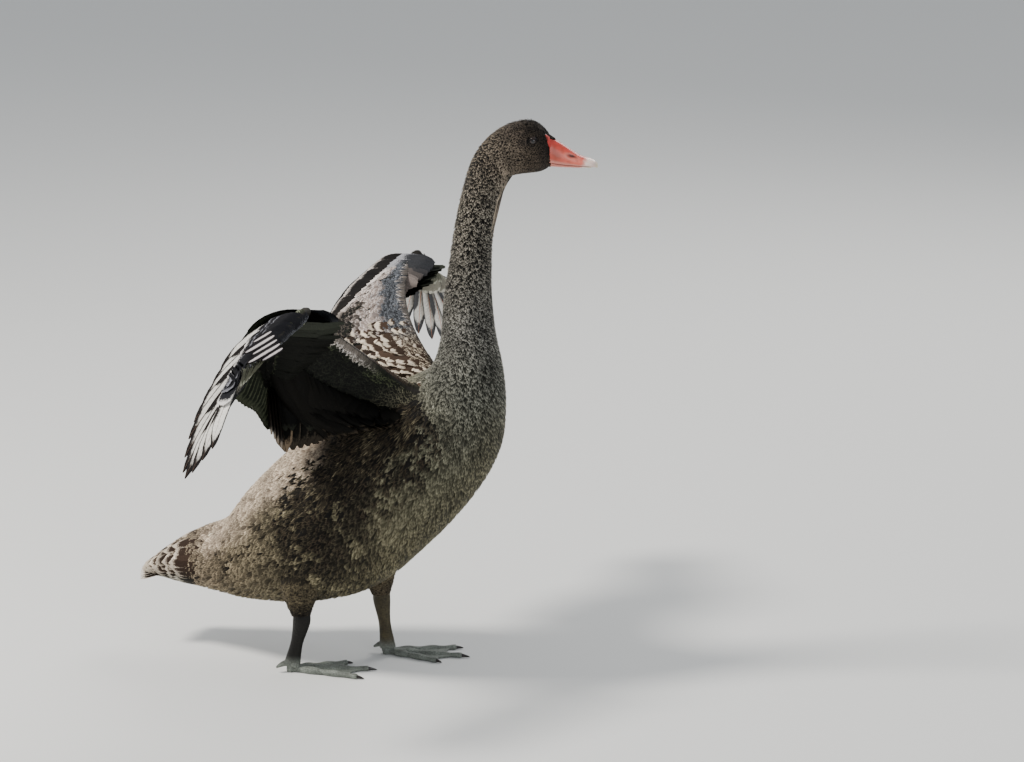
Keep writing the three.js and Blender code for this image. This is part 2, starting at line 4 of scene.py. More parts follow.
import bpy
import numpy as np
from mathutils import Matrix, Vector, kdtree


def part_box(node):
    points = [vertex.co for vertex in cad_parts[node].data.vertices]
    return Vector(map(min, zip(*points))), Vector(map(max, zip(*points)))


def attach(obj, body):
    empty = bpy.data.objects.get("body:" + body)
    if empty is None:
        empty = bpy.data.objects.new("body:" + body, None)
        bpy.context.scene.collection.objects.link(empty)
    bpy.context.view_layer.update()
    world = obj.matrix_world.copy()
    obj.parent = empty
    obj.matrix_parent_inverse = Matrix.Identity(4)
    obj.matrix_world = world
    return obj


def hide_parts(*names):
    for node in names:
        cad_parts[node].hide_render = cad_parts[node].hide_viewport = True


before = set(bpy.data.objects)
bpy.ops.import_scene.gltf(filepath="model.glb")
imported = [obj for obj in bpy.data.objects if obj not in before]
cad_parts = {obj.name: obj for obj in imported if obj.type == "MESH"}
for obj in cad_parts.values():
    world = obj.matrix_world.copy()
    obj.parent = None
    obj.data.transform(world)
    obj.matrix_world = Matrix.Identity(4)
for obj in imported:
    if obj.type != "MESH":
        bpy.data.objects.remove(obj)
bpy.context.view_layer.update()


rng = np.random.default_rng(7)
D = math.pi / 180

# Sizes in millimetres, as in the solids. Each section of the trunk has its middle's x and z, the
# way to its back in degrees, and its half depth and half width.
TRUNK = np.array([
    [-268, 119, 84, 19, 27], [-250, 124, 85, 30, 38], [-212, 133, 85, 43, 50],
    [-169, 141, 86, 56, 64], [-121, 165, 91, 84, 84], [-42, 201, 97, 113, 103],
    [37, 239, 101, 122, 109], [108, 294, 107, 110, 105], [157, 338, 117, 93, 93],
    [187, 375, 131, 76, 77], [199, 413, 150, 58, 59], [202, 450, 166, 46, 47],
    [200, 488, 178, 37, 39], [199, 534, 180, 33, 33], [202, 577, 178, 29, 29],
    [207, 621, 175, 26.5, 26.5], [217, 672, 171, 25.5, 25], [229, 707, 158, 27.5, 25.5],
    [241, 727, 134, 29.5, 26], [257, 739, 104, 33.5, 27], [275, 743.5, 99, 35, 27.5],
    [291, 744.5, 97, 34, 25.5], [303, 742.5, 93, 28.5, 20.5], [310.5, 739.5, 90, 21.5, 16],
], float)
LAST = len(TRUNK) - 1
HEAD_TURN = 20
NECK_X = 226
TURNING_HEIGHTS = (590, 715)
# Each section of the bill has its x, its top, its bottom and its half width.
UPPER_BILL = np.array([
    [310.8, 759.5, 725.5, 15.4], [320, 753.3, 724, 14.8], [330, 747.1, 722.6, 13.8],
    [340, 740.6, 721.6, 13], [352, 733.4, 720.8, 12.4], [362, 730, 720.2, 11.6],
    [369, 727.4, 719, 9.6], [374, 722.8, 717.6, 5.4],
])
LOWER_BILL = np.array([
    [310.8, 724.6, 718, 13.4], [324, 722.2, 717.3, 12.4], [340, 720.6, 717, 11.6],
    [354, 719.7, 716.8, 10.4], [366, 718.6, 716.4, 6.6],
])
EYE = (289.3, 20.1, 755.6)
EYE_RADIUS = 6.6
LEADING_EDGE_BOW = np.array([-31, -15, 12], float)
WINGS = {
    "left": dict(
        side=1, shoulder=(137, 52, 400), elbow=(-64, 92, 440), wrist=(29, 198, 543), tip=(-8, 345, 486),
    ),
    "right": dict(
        side=-1, shoulder=(140, 52, 402), elbow=(-38, 109, 418), wrist=(54, 206, 541), tip=(38, 354, 490),
    ),
}
for wing in WINGS.values():
    for joint in ("shoulder", "elbow", "wrist", "tip"):
        wing[joint] = np.array(wing[joint], float)
# Flight feathers run from a line between two joints, bend by one vector and reach another.
ROWS = {
    "secondaries": dict(
        joints=("wrist", "elbow"), span=(0.05, 0.97),
        bends=[[-72, 8, 4], [-72, 6, 6], [-58, 0, 8], [-36, 0, 8], [-24, 0, 10]],
        reaches=[[-97, 20, -86], [-88, 15, -86], [-62, 10, -78], [-34, 6, -66], [-12, 0, -66]],
    ),
    "tertials": dict(
        joints=("elbow", "shoulder"), span=(0.1, 0.55),
        bends=[[-22, 0, 8], [-20, 0, 6], [-18, 0, 2]],
        reaches=[[-6, 0, -92], [-10, -4, -78], [-26, -8, -58]],
    ),
    "primaries": dict(
        joints=("tip", "wrist"), span=(0.03, 0.9),
        bends=[[2, 66, -28], [-24, 78, -54], [-48, 50, -38], [-58, 14, -14]],
        reaches=[[10, 106, -74], [-42, 138, -134], [-82, 90, -107], [-99, 30, -71]],
    ),
}
TAIL_END = np.array([-262, 0, 119.0])
LEGS = {
    "right": dict(side=-1, foot=(-42, -62), ankle=(-24, -66, 86), hip=(-30, -62, 150), toe_in=24),
    "left": dict(side=1, foot=(46, 64), ankle=(36, 66, 88), hip=(30, 62, 160), toe_in=-13),
}
TOES = [(-21, 90), (0, 118), (22, 109)]
SKIN_VOXEL = 2.6
LEG_VOXEL = 1.05


# Curves and noise
def curve(points, centripetal=True):
    """A function that gives the points of a smooth curve at shares of its length."""
    pts = np.array(points, float)
    n = len(pts)
    padded = np.vstack([2 * pts[0] - pts[1], pts, 2 * pts[-1] - pts[-2]])

    def at(t):
        t = np.clip(np.asarray(t, float), 0, 1) * (n - 1)
        k = np.clip(np.floor(t).astype(int), 0, n - 2)
        w = (t - k)[..., None]
        p0, p1, p2, p3 = (padded[k + i] for i in range(4))
        t1, t2 = 0.5 * (p2 - p0), 0.5 * (p3 - p1)
        if centripetal:
            d0, d1, d2 = (
                np.sqrt(np.linalg.norm(b - a, axis=-1, keepdims=True) + 1e-9)
                for a, b in ((p0, p1), (p1, p2), (p2, p3))
            )
            t1 = ((p1 - p0) / d0 - (p2 - p0) / (d0 + d1) + (p2 - p1) / d1) * d1
            t2 = ((p2 - p1) / d1 - (p3 - p1) / (d1 + d2) + (p3 - p2) / d2) * d1
        c2 = -3 * p1 + 3 * p2 - 2 * t1 - t2
        c3 = 2 * p1 - 2 * p2 + t1 + t2
        return p1 + t1 * w + c2 * w * w + c3 * w ** 3

    return at


def cosd(a):
    return np.cos(np.asarray(a) * D)


def sind(a):
    return np.sin(np.asarray(a) * D)


def smooth(x, a, b):
    t = np.clip((np.asarray(x, float) - a) / (b - a), 0, 1)
    return t * t * (3 - 2 * t)


def within(x, a, b, c, d):
    """1 from b to c, and 0 before a and after d."""
    return smooth(x, a, b) * (1 - smooth(x, c, d))


def bell(x, middle, width):
    return np.exp(-(((x - middle) / width) ** 2))


def waves(p, size, seed):
    """Soft noise between about -1 and 1 over points p, with blotches of that size."""
    r = np.random.default_rng(seed)
    k = r.normal(size=(10, 3))
    k *= (2 * math.pi / size) * r.uniform(0.6, 1.5, (10, 1)) / np.linalg.norm(k, axis=1)[:, None]
    return np.sin(p @ k.T + r.uniform(0, 2 * math.pi, 10)).sum(-1) / 3.2


def unit(v):
    return v / np.maximum(np.linalg.norm(v, axis=-1, keepdims=True), 1e-9)


def lerp(a, b, t):
    return a + (b - a) * t


def bent(a, b, c, t):
    """The point at share t of a curve from a to c that b draws aside."""
    return a * (1 - t) ** 2 + 2 * b * t * (1 - t) + c * t * t


def arc_length(points):
    steps = np.linalg.norm(np.diff(points, axis=0), axis=1)
    return np.concatenate([[0], np.cumsum(steps)])


def floats(*values):
    return np.broadcast_arrays(*(np.asarray(v, float) for v in values))


def linear(r, g, b):
    c = np.array([r, g, b], float) / 255
    return np.where(c <= 0.04045, c / 12.92, ((c + 0.055) / 1.055) ** 2.4)


# The bird's surfaces
middles = curve(TRUNK[:, :2], False)
girths = curve(TRUNK[:, 2:], False)


def turned(p):
    """The head's turn to its left about the neck."""
    a = HEAD_TURN * smooth(p[..., 2], *TURNING_HEIGHTS)
    x, y = p[..., 0] - NECK_X, p[..., 1]
    return np.stack([NECK_X + x * cosd(a) - y * sind(a), x * sind(a) + y * cosd(a), p[..., 2]], -1)


def trunk_point(s, a, grow=0.0):
    """The trunk's surface at section s and angle a in degrees: 0 its left, 90 its back."""
    s, a = floats(s, a)
    m = middles(s / LAST)
    g = girths(s / LAST)
    up = (g[..., 1] + grow) * sind(a)
    out = (g[..., 2] + grow) * cosd(a)
    back = g[..., 0]
    return turned(np.stack([m[..., 0] + up * cosd(back), out, m[..., 1] + up * sind(back)], -1))


# The frame's origin, from the left eye's place.
eye_low, eye_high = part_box("eye_left")
SHIFT = np.array((eye_low + eye_high) / 2) - turned(np.array(EYE)) * 0.001


def metres(p):
    return np.asarray(p) * 0.001 + SHIFT


def coat_depth(s):
    """How far the skin lies under the tips of the small feathers."""
    return np.interp(s, [0, 2.6, 5, 8, 10.4, 13, 17, 19, 23], [3, 5, 7, 7, 5, 3.2, 2, 1.3, 0.9])


def ellipse(centre, a, front, front_size, up, up_size):
    """Points at angle a round a centre, from its front by way of its upper side."""
    return centre + front * (cosd(a) * front_size)[..., None] + up * (sind(a) * up_size)[..., None]


def arm_point(wing, t, a, grow=0.0, radius=1.0):
    """The arm's flesh at share t from shoulder to wrist: angle 0 leads and 90 is its back."""
    t, a = floats(t, a)
    start, end = wing["shoulder"], wing["wrist"]
    bend = lerp((start + end) / 2, wing["elbow"], 1.75)
    dorsal = unit(np.cross(end - start, wing["elbow"] - start))

    def edges(t):
        t = t[..., None]
        return lerp(start, end, t) + LEADING_EDGE_BOW * 4 * t * (1 - t), bent(start, bend, end, t)

    lead, rear = edges(np.clip(t, 0.05, 0.95))
    chord = lead - rear
    half = np.linalg.norm(chord, axis=-1) / 2 + lerp(13, 7, t) + grow
    thick = lerp(22, 8, np.power(np.clip(t, 0, 1), 0.6)) + grow
    lead, rear = edges(t)
    p = ellipse((lead + rear) / 2, a, unit(chord), half * radius, dorsal, thick * radius)
    return p * [1, wing["side"], 1]


def hand_point(wing, t, a, grow=0.0, radius=1.0):
    t, a = floats(t, a)
    along = wing["tip"] - wing["wrist"]
    chord = unit(np.cross(np.cross(unit(np.array([-0.5, 0.1, -0.6])), along), along))
    thick = unit(np.cross(along, chord))
    size = lerp(1, 0.42, t)
    p = lerp(wing["wrist"], wing["tip"], (0.03 + t)[..., None])
    p = ellipse(p, a, chord, (15 * size + grow) * radius, thick, (9 * size + grow) * radius)
    return p * [1, wing["side"], 1]


# Meshes
def mesh_object(name, verts, faces):
    data = bpy.data.meshes.new(name)
    verts = np.ascontiguousarray(metres(verts), np.float32)
    faces = np.asarray(faces, np.int32)
    data.vertices.add(len(verts))
    data.vertices.foreach_set("co", verts.ravel())
    data.loops.add(faces.size)
    data.loops.foreach_set("vertex_index", faces.ravel())
    data.polygons.add(len(faces))
    data.polygons.foreach_set("loop_start", np.arange(0, faces.size, faces.shape[1], dtype=np.int32))
    data.update(calc_edges=True)
    data.validate()
    data.polygons.foreach_set("use_smooth", np.ones(len(data.polygons), bool))
    made = bpy.data.objects.new(name, data)
    bpy.context.scene.collection.objects.link(made)
    return made


def paint(obj, name, colours):
    """A colour for every vertex."""
    layer = obj.data.color_attributes.new(name, "FLOAT_COLOR", "POINT")
    rgba = np.ones((len(obj.data.vertices), 4), np.float32)
    rgba[:, :colours.shape[1]] = np.clip(colours, 0, 1)
    layer.data.foreach_set("color", rgba.ravel())


def map_uv(obj, name, uv):
    layer = obj.data.uv_layers.new(name=name)
    loops = np.empty(len(obj.data.loops), np.int32)
    obj.data.loops.foreach_get("vertex_index", loops)
    layer.data.foreach_set("uv", np.asarray(uv, np.float32)[loops].ravel())


def grid_faces(rows, cols, wrap=False, ring=False):
    """Faces of a grid, whose columns meet where wrap is set and whose rows meet where ring is."""
    along = np.arange(rows if ring else rows - 1)
    across = np.arange(cols if wrap else cols - 1)
    i, j = np.meshgrid(along, across, indexing="ij")
    k, m = (i + 1) % rows, (j + 1) % cols
    return np.stack([i * cols + j, i * cols + m, k * cols + m, k * cols + j], -1).reshape(-1, 4)


def tube_mesh(place, rings, around, ends=(0.0, 1.0)):
    """Points and faces of a closed tube: place(t, angle in degrees, radius)."""
    t = np.linspace(*ends, rings)
    a = np.arange(around) * 360 / around
    beside = (np.arange(around) + 1) % around
    points = [place(*np.meshgrid(t, a, indexing="ij"), 1.0).reshape(-1, 3)]
    faces = [grid_faces(rings, around, True)]
    count = rings * around
    for ring, turn in ((0, -1), (rings - 1, 1)):
        previous = ring * around + np.arange(around)
        for radius in (0.66, 0.33, 0.02, 0):
            if radius > 0:
                points.append(place(np.full(around, t[ring]), a, radius))
                new = count + np.arange(around)
            else:
                points.append(points[-1].mean(0, keepdims=True))
                new = np.full(around, count)
            count += len(points[-1])
            quad = np.stack([previous, previous[beside], new[beside], new], -1)
            faces.append(quad[:, ::turn])
            previous = new
    return np.vstack(points), np.vstack(faces)


def join_meshes(parts):
    starts = np.cumsum([0] + [len(v) for v, _ in parts])
    return np.vstack([v for v, _ in parts]), np.vstack([f + start for (_, f), start in zip(parts, starts)])


def remeshed(name, parts, voxel, smoothing, factor=0.5):
    """One closed skin over overlapping tubes."""
    obj = mesh_object(name, *join_meshes(parts))
    mod = obj.modifiers.new("remesh", "REMESH")
    mod.mode = "VOXEL"
    mod.voxel_size = voxel * 0.001
    mod.use_smooth_shade = True
    soft = obj.modifiers.new("smooth", "SMOOTH")
    soft.factor = factor
    soft.iterations = smoothing
    deps = bpy.context.evaluated_depsgraph_get()
    data = bpy.data.meshes.new_from_object(obj.evaluated_get(deps))
    obj.modifiers.clear()
    old = obj.data
    obj.data = data
    bpy.data.meshes.remove(old)
    return obj


def points_of(obj):
    co = np.empty(len(obj.data.vertices) * 3, np.float32)
    obj.data.vertices.foreach_get("co", co)
    return (co.reshape(-1, 3) - SHIFT) / 0.001


def finish_piece(obj, stuff, slot, *nodes):
    obj.data.materials.append(stuff)
    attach(obj, "root")
    if nodes:
        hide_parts(*nodes)


# Materials
def connect(tree, node, inputs):
    """Sets each input to its value, or links it where that is another node's output."""
    for key, value in inputs.items():
        if isinstance(value, bpy.types.NodeSocket):
            tree.links.new(value, node.inputs[key])
        else:
            node.inputs[key].default_value = value


def add_node(tree, kind, output, inputs, **settings):
    """Adds a shader node and gives one of its outputs."""
    node = tree.nodes.new("ShaderNode" + kind)
    for name, value in settings.items():
        setattr(node, name, value)
    connect(tree, node, inputs)
    return node.outputs[output]


def material(name, roughness, specular, sheen=0.0, coat=0.0, colour=(0.8, 0.8, 0.8)):
    stuff = bpy.data.materials.new(name)
    stuff.use_nodes = True
    bsdf = stuff.node_tree.nodes["Principled BSDF"]
    connect(stuff.node_tree, bsdf, {
        "Base Color": (*colour, 1), "Roughness": roughness, "Specular IOR Level": specular,
        "Sheen Weight": sheen, "Sheen Roughness": 0.5, "Coat Weight": coat,
    })
    return stuff, stuff.node_tree, bsdf


def painted(tree, name, output="Color"):
    return add_node(tree, "VertexColor", output, {}, layer_name=name)


def mix_colour(tree, factor, a, b):
    return add_node(tree, "Mix", 2, {0: factor, 6: a, 7: b}, data_type="RGBA")


def noise(tree, scale, detail, vector=None):
    if vector is None:
        vector = add_node(tree, "TexCoord", "Object", {})
    return add_node(tree, "TexNoise", "Fac", {"Scale": scale, "Detail": detail, "Vector": vector})


def bump(tree, bsdf, height, strength, distance):
    normal = add_node(tree, "Bump", "Normal", {"Strength": strength, "Distance": distance, "Height": height})
    connect(tree, bsdf, {"Normal": normal})


def feather_material(name, streak, barbs, roughness, specular, sheen):
    """The vane's own dark base and pale fringe, parted by a streaked edge along its barbs."""
    stuff, tree, bsdf = material(name, roughness, specular, sheen)
    along = add_node(tree, "Mapping", "Vector", {
        "Vector": add_node(tree, "UVMap", "UV", {}, uv_map="Barbs"), "Scale": barbs,
    })
    fine = noise(tree, 1.0, 2, along)
    share = painted(tree, "Coat", "Alpha")
    uneven = add_node(tree, "Math", "Value", {0: fine, 1: 0.7, 2: share}, operation="MULTIPLY_ADD")
    limit = add_node(
        tree, "MapRange", "Result", {"Value": uneven, "From Min": 0.72, "From Max": 1.12},
        interpolation_type="SMOOTHSTEP",
    )
    colour = mix_colour(tree, limit, painted(tree, "Coat"), painted(tree, "Edge"))
    ramp = add_node(tree, "MapRange", "Result", {
        "Value": fine, "From Min": 0.3, "From Max": 0.7, "To Min": 1 - streak, "To Max": 1 + streak,
    })
    scaled = add_node(tree, "VectorMath", "Vector", {0: colour, "Scale": ramp}, operation="SCALE")
    connect(tree, bsdf, {"Base Color": scaled})
    bump(tree, bsdf, fine, 0.5, 0.0006)
    return stuff


BODY_FEATHER = feather_material("small feathers", 0.34, (9, 1.2, 1), 0.7, 0.12, 0.03)
FLIGHT_FEATHER = feather_material("flight feathers", 0.2, (4, 40, 1), 0.6, 0.06, 0.0)


# Vanes
coats = []


class Coat:
    """Vanes of one kind, gathered in one mesh."""

    def __init__(self, name, stuff, slot="plumage", later=True):
        self.name, self.stuff, self.slot = name, stuff, slot
        self.verts, self.faces, self.paint, self.fringe, self.bake, self.barbs = [], [], [], [], [], []
        self.count = 0
        if later:
            coats.append(self)

    def add(self, points, tones, place, u, v, patch=0.003, flip=False):
        """points are (vanes, rows, columns, 3), tones the base, the fringe and the share of the
        fringe over them, and place is each root's (u, v)."""
        base, fringe, share = tones
        n, rows, cols, _ = points.shape
        one = grid_faces(rows, cols)
        if flip:
            one = one[:, ::-1]
        size = rows * cols
        start = self.count + np.arange(n)[:, None, None] * size
        self.faces.append((one[None] + start).reshape(-1, 4))
        self.verts.append(points.reshape(-1, 3))
        mixed = np.empty(points.shape[:3] + (4,), np.float32)
        mixed[..., :3] = base
        mixed[..., 3] = share
        self.paint.append(mixed.reshape(-1, 4))
        self.fringe.append(np.broadcast_to(fringe, points.shape).reshape(-1, 3).astype(np.float32))
        cell = np.stack(np.broadcast_arrays(u, v), -1).reshape(1, rows, cols, 2)
        spread = (cell * [0.5, 1] + [0, -0.5]) * patch
        self.bake.append((place[:, None, None, :] + spread).reshape(-1, 2))
        self.barbs.append((cell + rng.uniform(0, 50, (n, 1, 1, 2))).reshape(-1, 2))
        self.count += n * size

    def lay(self, points, base, fringe, template, place, flip=False, spread=0.16):
        """Adds small feathers with one dark base and one pale fringe each."""
        v, u, weights = template
        n = len(points)
        tone = np.exp(rng.normal(0, spread, (n, 1, 1, 1)))
        share = weights[None] * (1 + rng.normal(0, 0.16, (n, 1, 1)))
        tones = (base[:, None, None, :] * tone, fringe[:, None, None, :] * tone, share)
        self.add(points, tones, place, u, v, flip=flip)

    def build(self):
        obj = mesh_object(self.name, np.vstack(self.verts), np.vstack(self.faces))
        paint(obj, "Coat", np.vstack(self.paint))
        paint(obj, "Edge", np.vstack(self.fringe))
        map_uv(obj, "OFBake", np.clip(np.vstack(self.bake), 0.001, 0.999))
        map_uv(obj, "Barbs", np.vstack(self.barbs))
        finish_piece(obj, self.stuff, self.slot)


def spots(x, y):
    """Places on the unwrap for shares of its width and height."""
    return np.stack([0.02 + 0.96 * x, 0.02 + 0.96 * y], -1)


# A small feather is a grid of rows along it and columns across it, with a ragged tip: where its
# points lie along it and across it, and how much of the fringe's colour they have.
ACROSS = np.array([-1, -0.5, 0, 0.5, 1.0])[None]
FINE = (
    np.array([[0] * 5, [0.4] * 5, [0.74, 0.76, 0.78, 0.76, 0.74], [0.88, 1.0, 0.93, 1.02, 0.86]]),
    ACROSS * np.array([0.4, 0.95, 1.0, 0.62])[:, None],
    np.array([[0] * 5, [0.25, 0, 0, 0, 0.25], [0.62, 0.22, 0.1, 0.22, 0.62], [0.9, 0.9, 0.6, 0.9, 0.9]]),
)
SMALL = (
    np.array([[0, 0, 0], [0.55, 0.6, 0.55], [0.86, 1.0, 0.9]]),
    np.array([-1, 0, 1.0])[None] * np.array([0.5, 1.0, 0.55])[:, None],
    np.array([[0, 0, 0], [0.35, 0.1, 0.35], [1, 0.8, 1]]),
)
LONG = (
    np.array([[0] * 5, [0.25] * 5, [0.5] * 5, [0.74, 0.76, 0.78, 0.76, 0.74], [0.82, 1.0, 0.88, 1.04, 0.8]]),
    ACROSS * np.array([0.4, 0.9, 1.0, 0.8, 0.5])[:, None],
    np.array([[0] * 5, [0] * 5, [0.1, 0, 0, 0, 0.1], [0.45, 0.1, 0, 0.1, 0.45], [1, 0.8, 0.4, 0.8, 1]]),
)


def over_surface(surface, along, across, length, width, lift, template, jitter, root_depth, steps):
    """Small feathers on a surface. surface(x, y, height) gives points, and x runs along the lie
    of the coat and y across it; steps is one small step in each, used to measure them."""
    v_t, u_t, _ = template
    dx, dy = steps
    base = surface(along, across, -root_depth)
    mx = np.linalg.norm(surface(along + dx, across, -root_depth) - base, axis=-1) / abs(dx)
    my = np.linalg.norm(surface(along, across + dy, -root_depth) - base, axis=-1) / abs(dy)
    along, across, length, width, lift, turn, root_depth, mx, my = (
        np.asarray(each)[:, None, None]
        for each in (along, across, length, width, lift, jitter, root_depth, mx, my)
    )
    x = v_t[None] * length
    y = 0.5 * u_t[None] * width
    wobble = 0.06 * width * rng.normal(size=(len(along), 1, v_t.shape[1]))
    x2 = x * np.cos(turn) - y * np.sin(turn) + wobble * v_t[None]
    y2 = x * np.sin(turn) + y * np.cos(turn)
    shape = np.power(np.clip(v_t, 0, 1.05), 1.25)[None]
    camber = 0.16 * width * (u_t[None] ** 2)
    height = (root_depth + lift) * shape - root_depth - camber * (0.3 + 0.7 * shape)
    along = along + np.sign(dx) * x2 / np.maximum(mx, 1e-3)
    across = across + y2 / np.maximum(my, 1e-3)
    return surface(along, across, height)


# Plumage colours by section of the trunk, for the dark base and the pale fringe.
BASE_KEYS = np.array([
    [0, 42, 34, 28], [2, 44, 36, 29], [3.5, 56, 47, 37], [6, 40, 37, 26], [8.5, 42, 41, 31],
    [10.4, 42, 42, 36], [12.5, 32, 31, 28], [15.5, 15, 13, 10], [18.5, 14, 11, 9], [23, 10, 8, 6],
])
FRINGE_KEYS = np.array([
    [0, 196, 182, 162], [2, 160, 144, 122], [3.5, 158, 142, 117], [6, 134, 126, 99],
    [8.5, 128, 125, 104], [10.4, 128, 127, 115], [12.5, 136, 133, 125], [15.5, 158, 150, 136],
    [18, 140, 127, 111], [20.5, 100, 88, 75], [23, 60, 51, 43],
])
# The dark lane's section by the angle round the side, from the back down to the thigh, and its width.
LANE = ([90, 120, 148, 170, 200, 230, 260], [7.7, 7.5, 7.0, 6.4, 5.95, 5.8, 5.7])
LANE_WIDTH = ([90, 150, 180, 205, 260], [1.4, 1.3, 1.1, 0.75, 0.6])


def blend_keys(x, keys):
    return np.stack([np.interp(x, keys[:, 0], channel) for channel in linear(*keys[:, 1:].T)], -1)


def tinted(tones, base, fringe, weight, shares=(1, 1)):
    """Tones drawn towards another base and fringe by a weight for each feather."""
    by_base, by_fringe = (weight[:, None] * share for share in shares)
    return lerp(tones[0], linear(*base), by_base), lerp(tones[1], linear(*fringe), by_fringe)


def trunk_colours(s, a, p):
    """Base and fringe of feathers at section s, angle a and place p."""
    back = sind(a)
    flank = np.abs(cosd(a))
    tones = blend_keys(s, BASE_KEYS), blend_keys(s, FRINGE_KEYS)
    # The back and rump are pale and pinkish.
    rump = smooth(back, 0.0, 0.4) * within(s, 2.6, 3.4, 4.2, 5.0) * 0.8
    pale = np.maximum(smooth(back, 0.3, 0.62) * within(s, 2.2, 3.2, 6.2, 8.0), rump)
    tones = tinted(tones, (146, 127, 108), (206, 188, 166), pale, (0.9, 0.9))
    # From tail to breast the two colours differ less.
    softer = within(s, 1.0, 2.5, 8.5, 10.5)[:, None]
    tones = lerp(tones[0], tones[1] * 0.5, 0.5 * softer), tones[1]
    # Black loose feathers behind the wings, down the flank and above the thighs, and painted shade on the
    # side under the wings.
    patch = waves(p, 46, 3) + 0.7 * waves(p, 17, 4)
    round_side = np.where(cosd(a) < 0, a % 360, (180 - a) % 360)
    lane = bell(s, np.interp(round_side, *LANE), np.interp(round_side, *LANE_WIDTH))
    lane = lane * (1 - smooth(back, 0.35, 0.65))
    breast = bell(s, 8.2, 1.2) * bell(round_side, 186, 26) * 0.75
    dark = np.maximum(lane * 2.1 * smooth(patch, -1.3, -0.2), breast * 1.4 * smooth(patch, -0.5, 0.4))
    # Painted shade: the trunk's side under each wing is painted black where the wing's shadow falls.
    painted_shade_under_wing = smooth(back, 0.12, 0.3) * smooth(flank, 0.25, 0.55) * within(s, 5.6, 6.4, 8.9, 9.8)
    dark = np.clip(np.maximum(np.clip(dark, 0, 1) * 0.92, painted_shade_under_wing), 0, 1)
    tones = tinted(tones, (8, 6, 5), (44, 37, 29), dark, (1, 0.95))
    # The belly is a little darker below.
    low = smooth(-back, 0.5, 1.0) * within(s, 2, 4, 9, 11)
    tones = tinted(tones, (40, 37, 27), (112, 105, 80), low, (0.6, 0.6))
    # The crown, a line through the eye and the lores are darker than the cheeks.
    mottle = smooth(waves(p, 9, 13), -0.6, 0.7)
    crown = smooth(s, 18.4, 19.8) * smooth(back, 0.3, 0.7) * (0.55 + 0.45 * mottle)
    line = bell(p[:, 2], 756, 6) * smooth(s, 19.6, 20.4)
    crown = np.clip(np.maximum(crown, np.maximum(line, smooth(s, 21.6, 22.7))), 0, 1)
    tones = tinted(tones, (13, 11, 9), (66, 58, 52), crown, (0.85, 0.85))
    # Dark blotches break up the flanks and the tail's root.
    blotch = smooth(waves(p, 27, 5) + 0.6 * waves(p, 10, 6), 0.15, 0.9) * smooth(flank, 0.15, 0.6)
    blotch = blotch * smooth(back, -0.75, -0.3) * within(s, 0.6, 3.6, 8.8, 10.4) * (1 - 0.65 * pale)
    tones = tinted(tones, (10, 8, 6), (60, 51, 40), blotch, (0.9, 0.85))
    tone = np.exp(0.16 * waves(p, 45, 11) + 0.16 * waves(p, 13, 12))[:, None]
    return tones[0] * tone, tones[1] * tone


LENGTHS = ([0, 2.6, 5, 8, 10.4, 13, 17.6, 19, 21, 23], [26, 24, 22, 18, 14, 11, 10, 7.2, 5.2, 3.8])


def feather_length(s):
    return np.interp(s, *LENGTHS)


def feather_width(s):
    return feather_length(s) * np.interp(s, [0, 5, 8, 13, 18, 23], [0.38, 0.34, 0.3, 0.26, 0.28, 0.42])


def trunk_surface(x, y, h):
    return trunk_point(np.clip(x, 0.02, LAST), y, h)


def trunk_feathers(name, s_from, s_to, step, gap, lift, template, jitter, rough=0.0):
    """Covers the trunk between two sections. step and lift are shares of a feather's length and
    gap is a share of its width."""
    fine = np.linspace(s_from, s_to, 400)
    arc = arc_length(middles(fine / LAST))
    rows = []
    place = arc[-1]
    while place > 0:
        s = np.interp(place, arc, fine)
        g = girths(s / LAST)
        n = max(8, int(round(math.pi * (g[1] + g[2]) / (feather_width(s) * gap))))
        a = (np.arange(n) + 0.5 * (len(rows) % 2) + rng.uniform(-0.32, 0.32, n)) * 360 / n
        forward = feather_length(s) * step
        rows.append(np.stack([s + rng.uniform(-0.35, 0.35, n) * forward * (s_to - s_from) / arc[-1], a], -1))
        place -= forward
    s, a = np.vstack(rows).T
    s = np.clip(s, s_from, s_to)
    p = trunk_point(s, a)
    # No feather lies on an eye, and none in front of it would lie over it.
    keep = np.ones(len(s), bool)
    for side in (1, -1):
        d = p - turned(np.array([EYE[0], side * EYE[1], EYE[2]]))
        flat = np.hypot(d[:, 0], d[:, 1])
        near = np.sqrt((flat / 6.6) ** 2 + (d[:, 2] / 4.6) ** 2) < 1
        front = (flat < 9.5) & (d[:, 0] > 0) & (np.abs(d[:, 2]) < 3.2)
        keep &= ~((near | front) & (s > 18.5) & (np.sign(cosd(a)) == side))
    s, a, p = s[keep], a[keep], p[keep]
    n = len(s)
    size = np.exp(rng.normal(0, 0.13, n))
    crown = smooth(waves(p, 8, 71), -0.3, 0.8) * smooth(s, 18.6, 19.6) + 1.3 * bell(s, 21.4, 0.9)
    raised = rough * smooth(sind(a), 0.1, 0.7) * crown
    points = over_surface(
        trunk_surface, s, a, feather_length(s) * size, feather_width(s) * size,
        lift * feather_length(s) * np.abs(rng.normal(1, 0.5, n)) + raised, template,
        rng.normal(0, 1, n) * jitter + 0.16 * waves(p, 60, 21), coat_depth(s), (-0.02, 0.5),
    )
    coat = Coat(name, BODY_FEATHER)
    place = spots((a % 360) / 360, (s - s_from) / (s_to - s_from))
    coat.lay(points, *trunk_colours(s, a, p), template, place)


for index, (low, high, step) in enumerate([
    (1.2, 5.2, 0.26), (5.2, 7.4, 0.26), (7.4, 10.4, 0.27), (10.4, 13.6, 0.32),
]):
    trunk_feathers("coat_body_%d" % index, low, high, step, 0.48, 0.02, FINE, 0.16)
trunk_feathers("coat_neck", 13.6, 18.2, 0.36, 0.62, 0.07, FINE, 0.2)
trunk_feathers("coat_head", 18.2, 23, 0.32, 0.5, 0.04, SMALL, 0.14, 1.5)


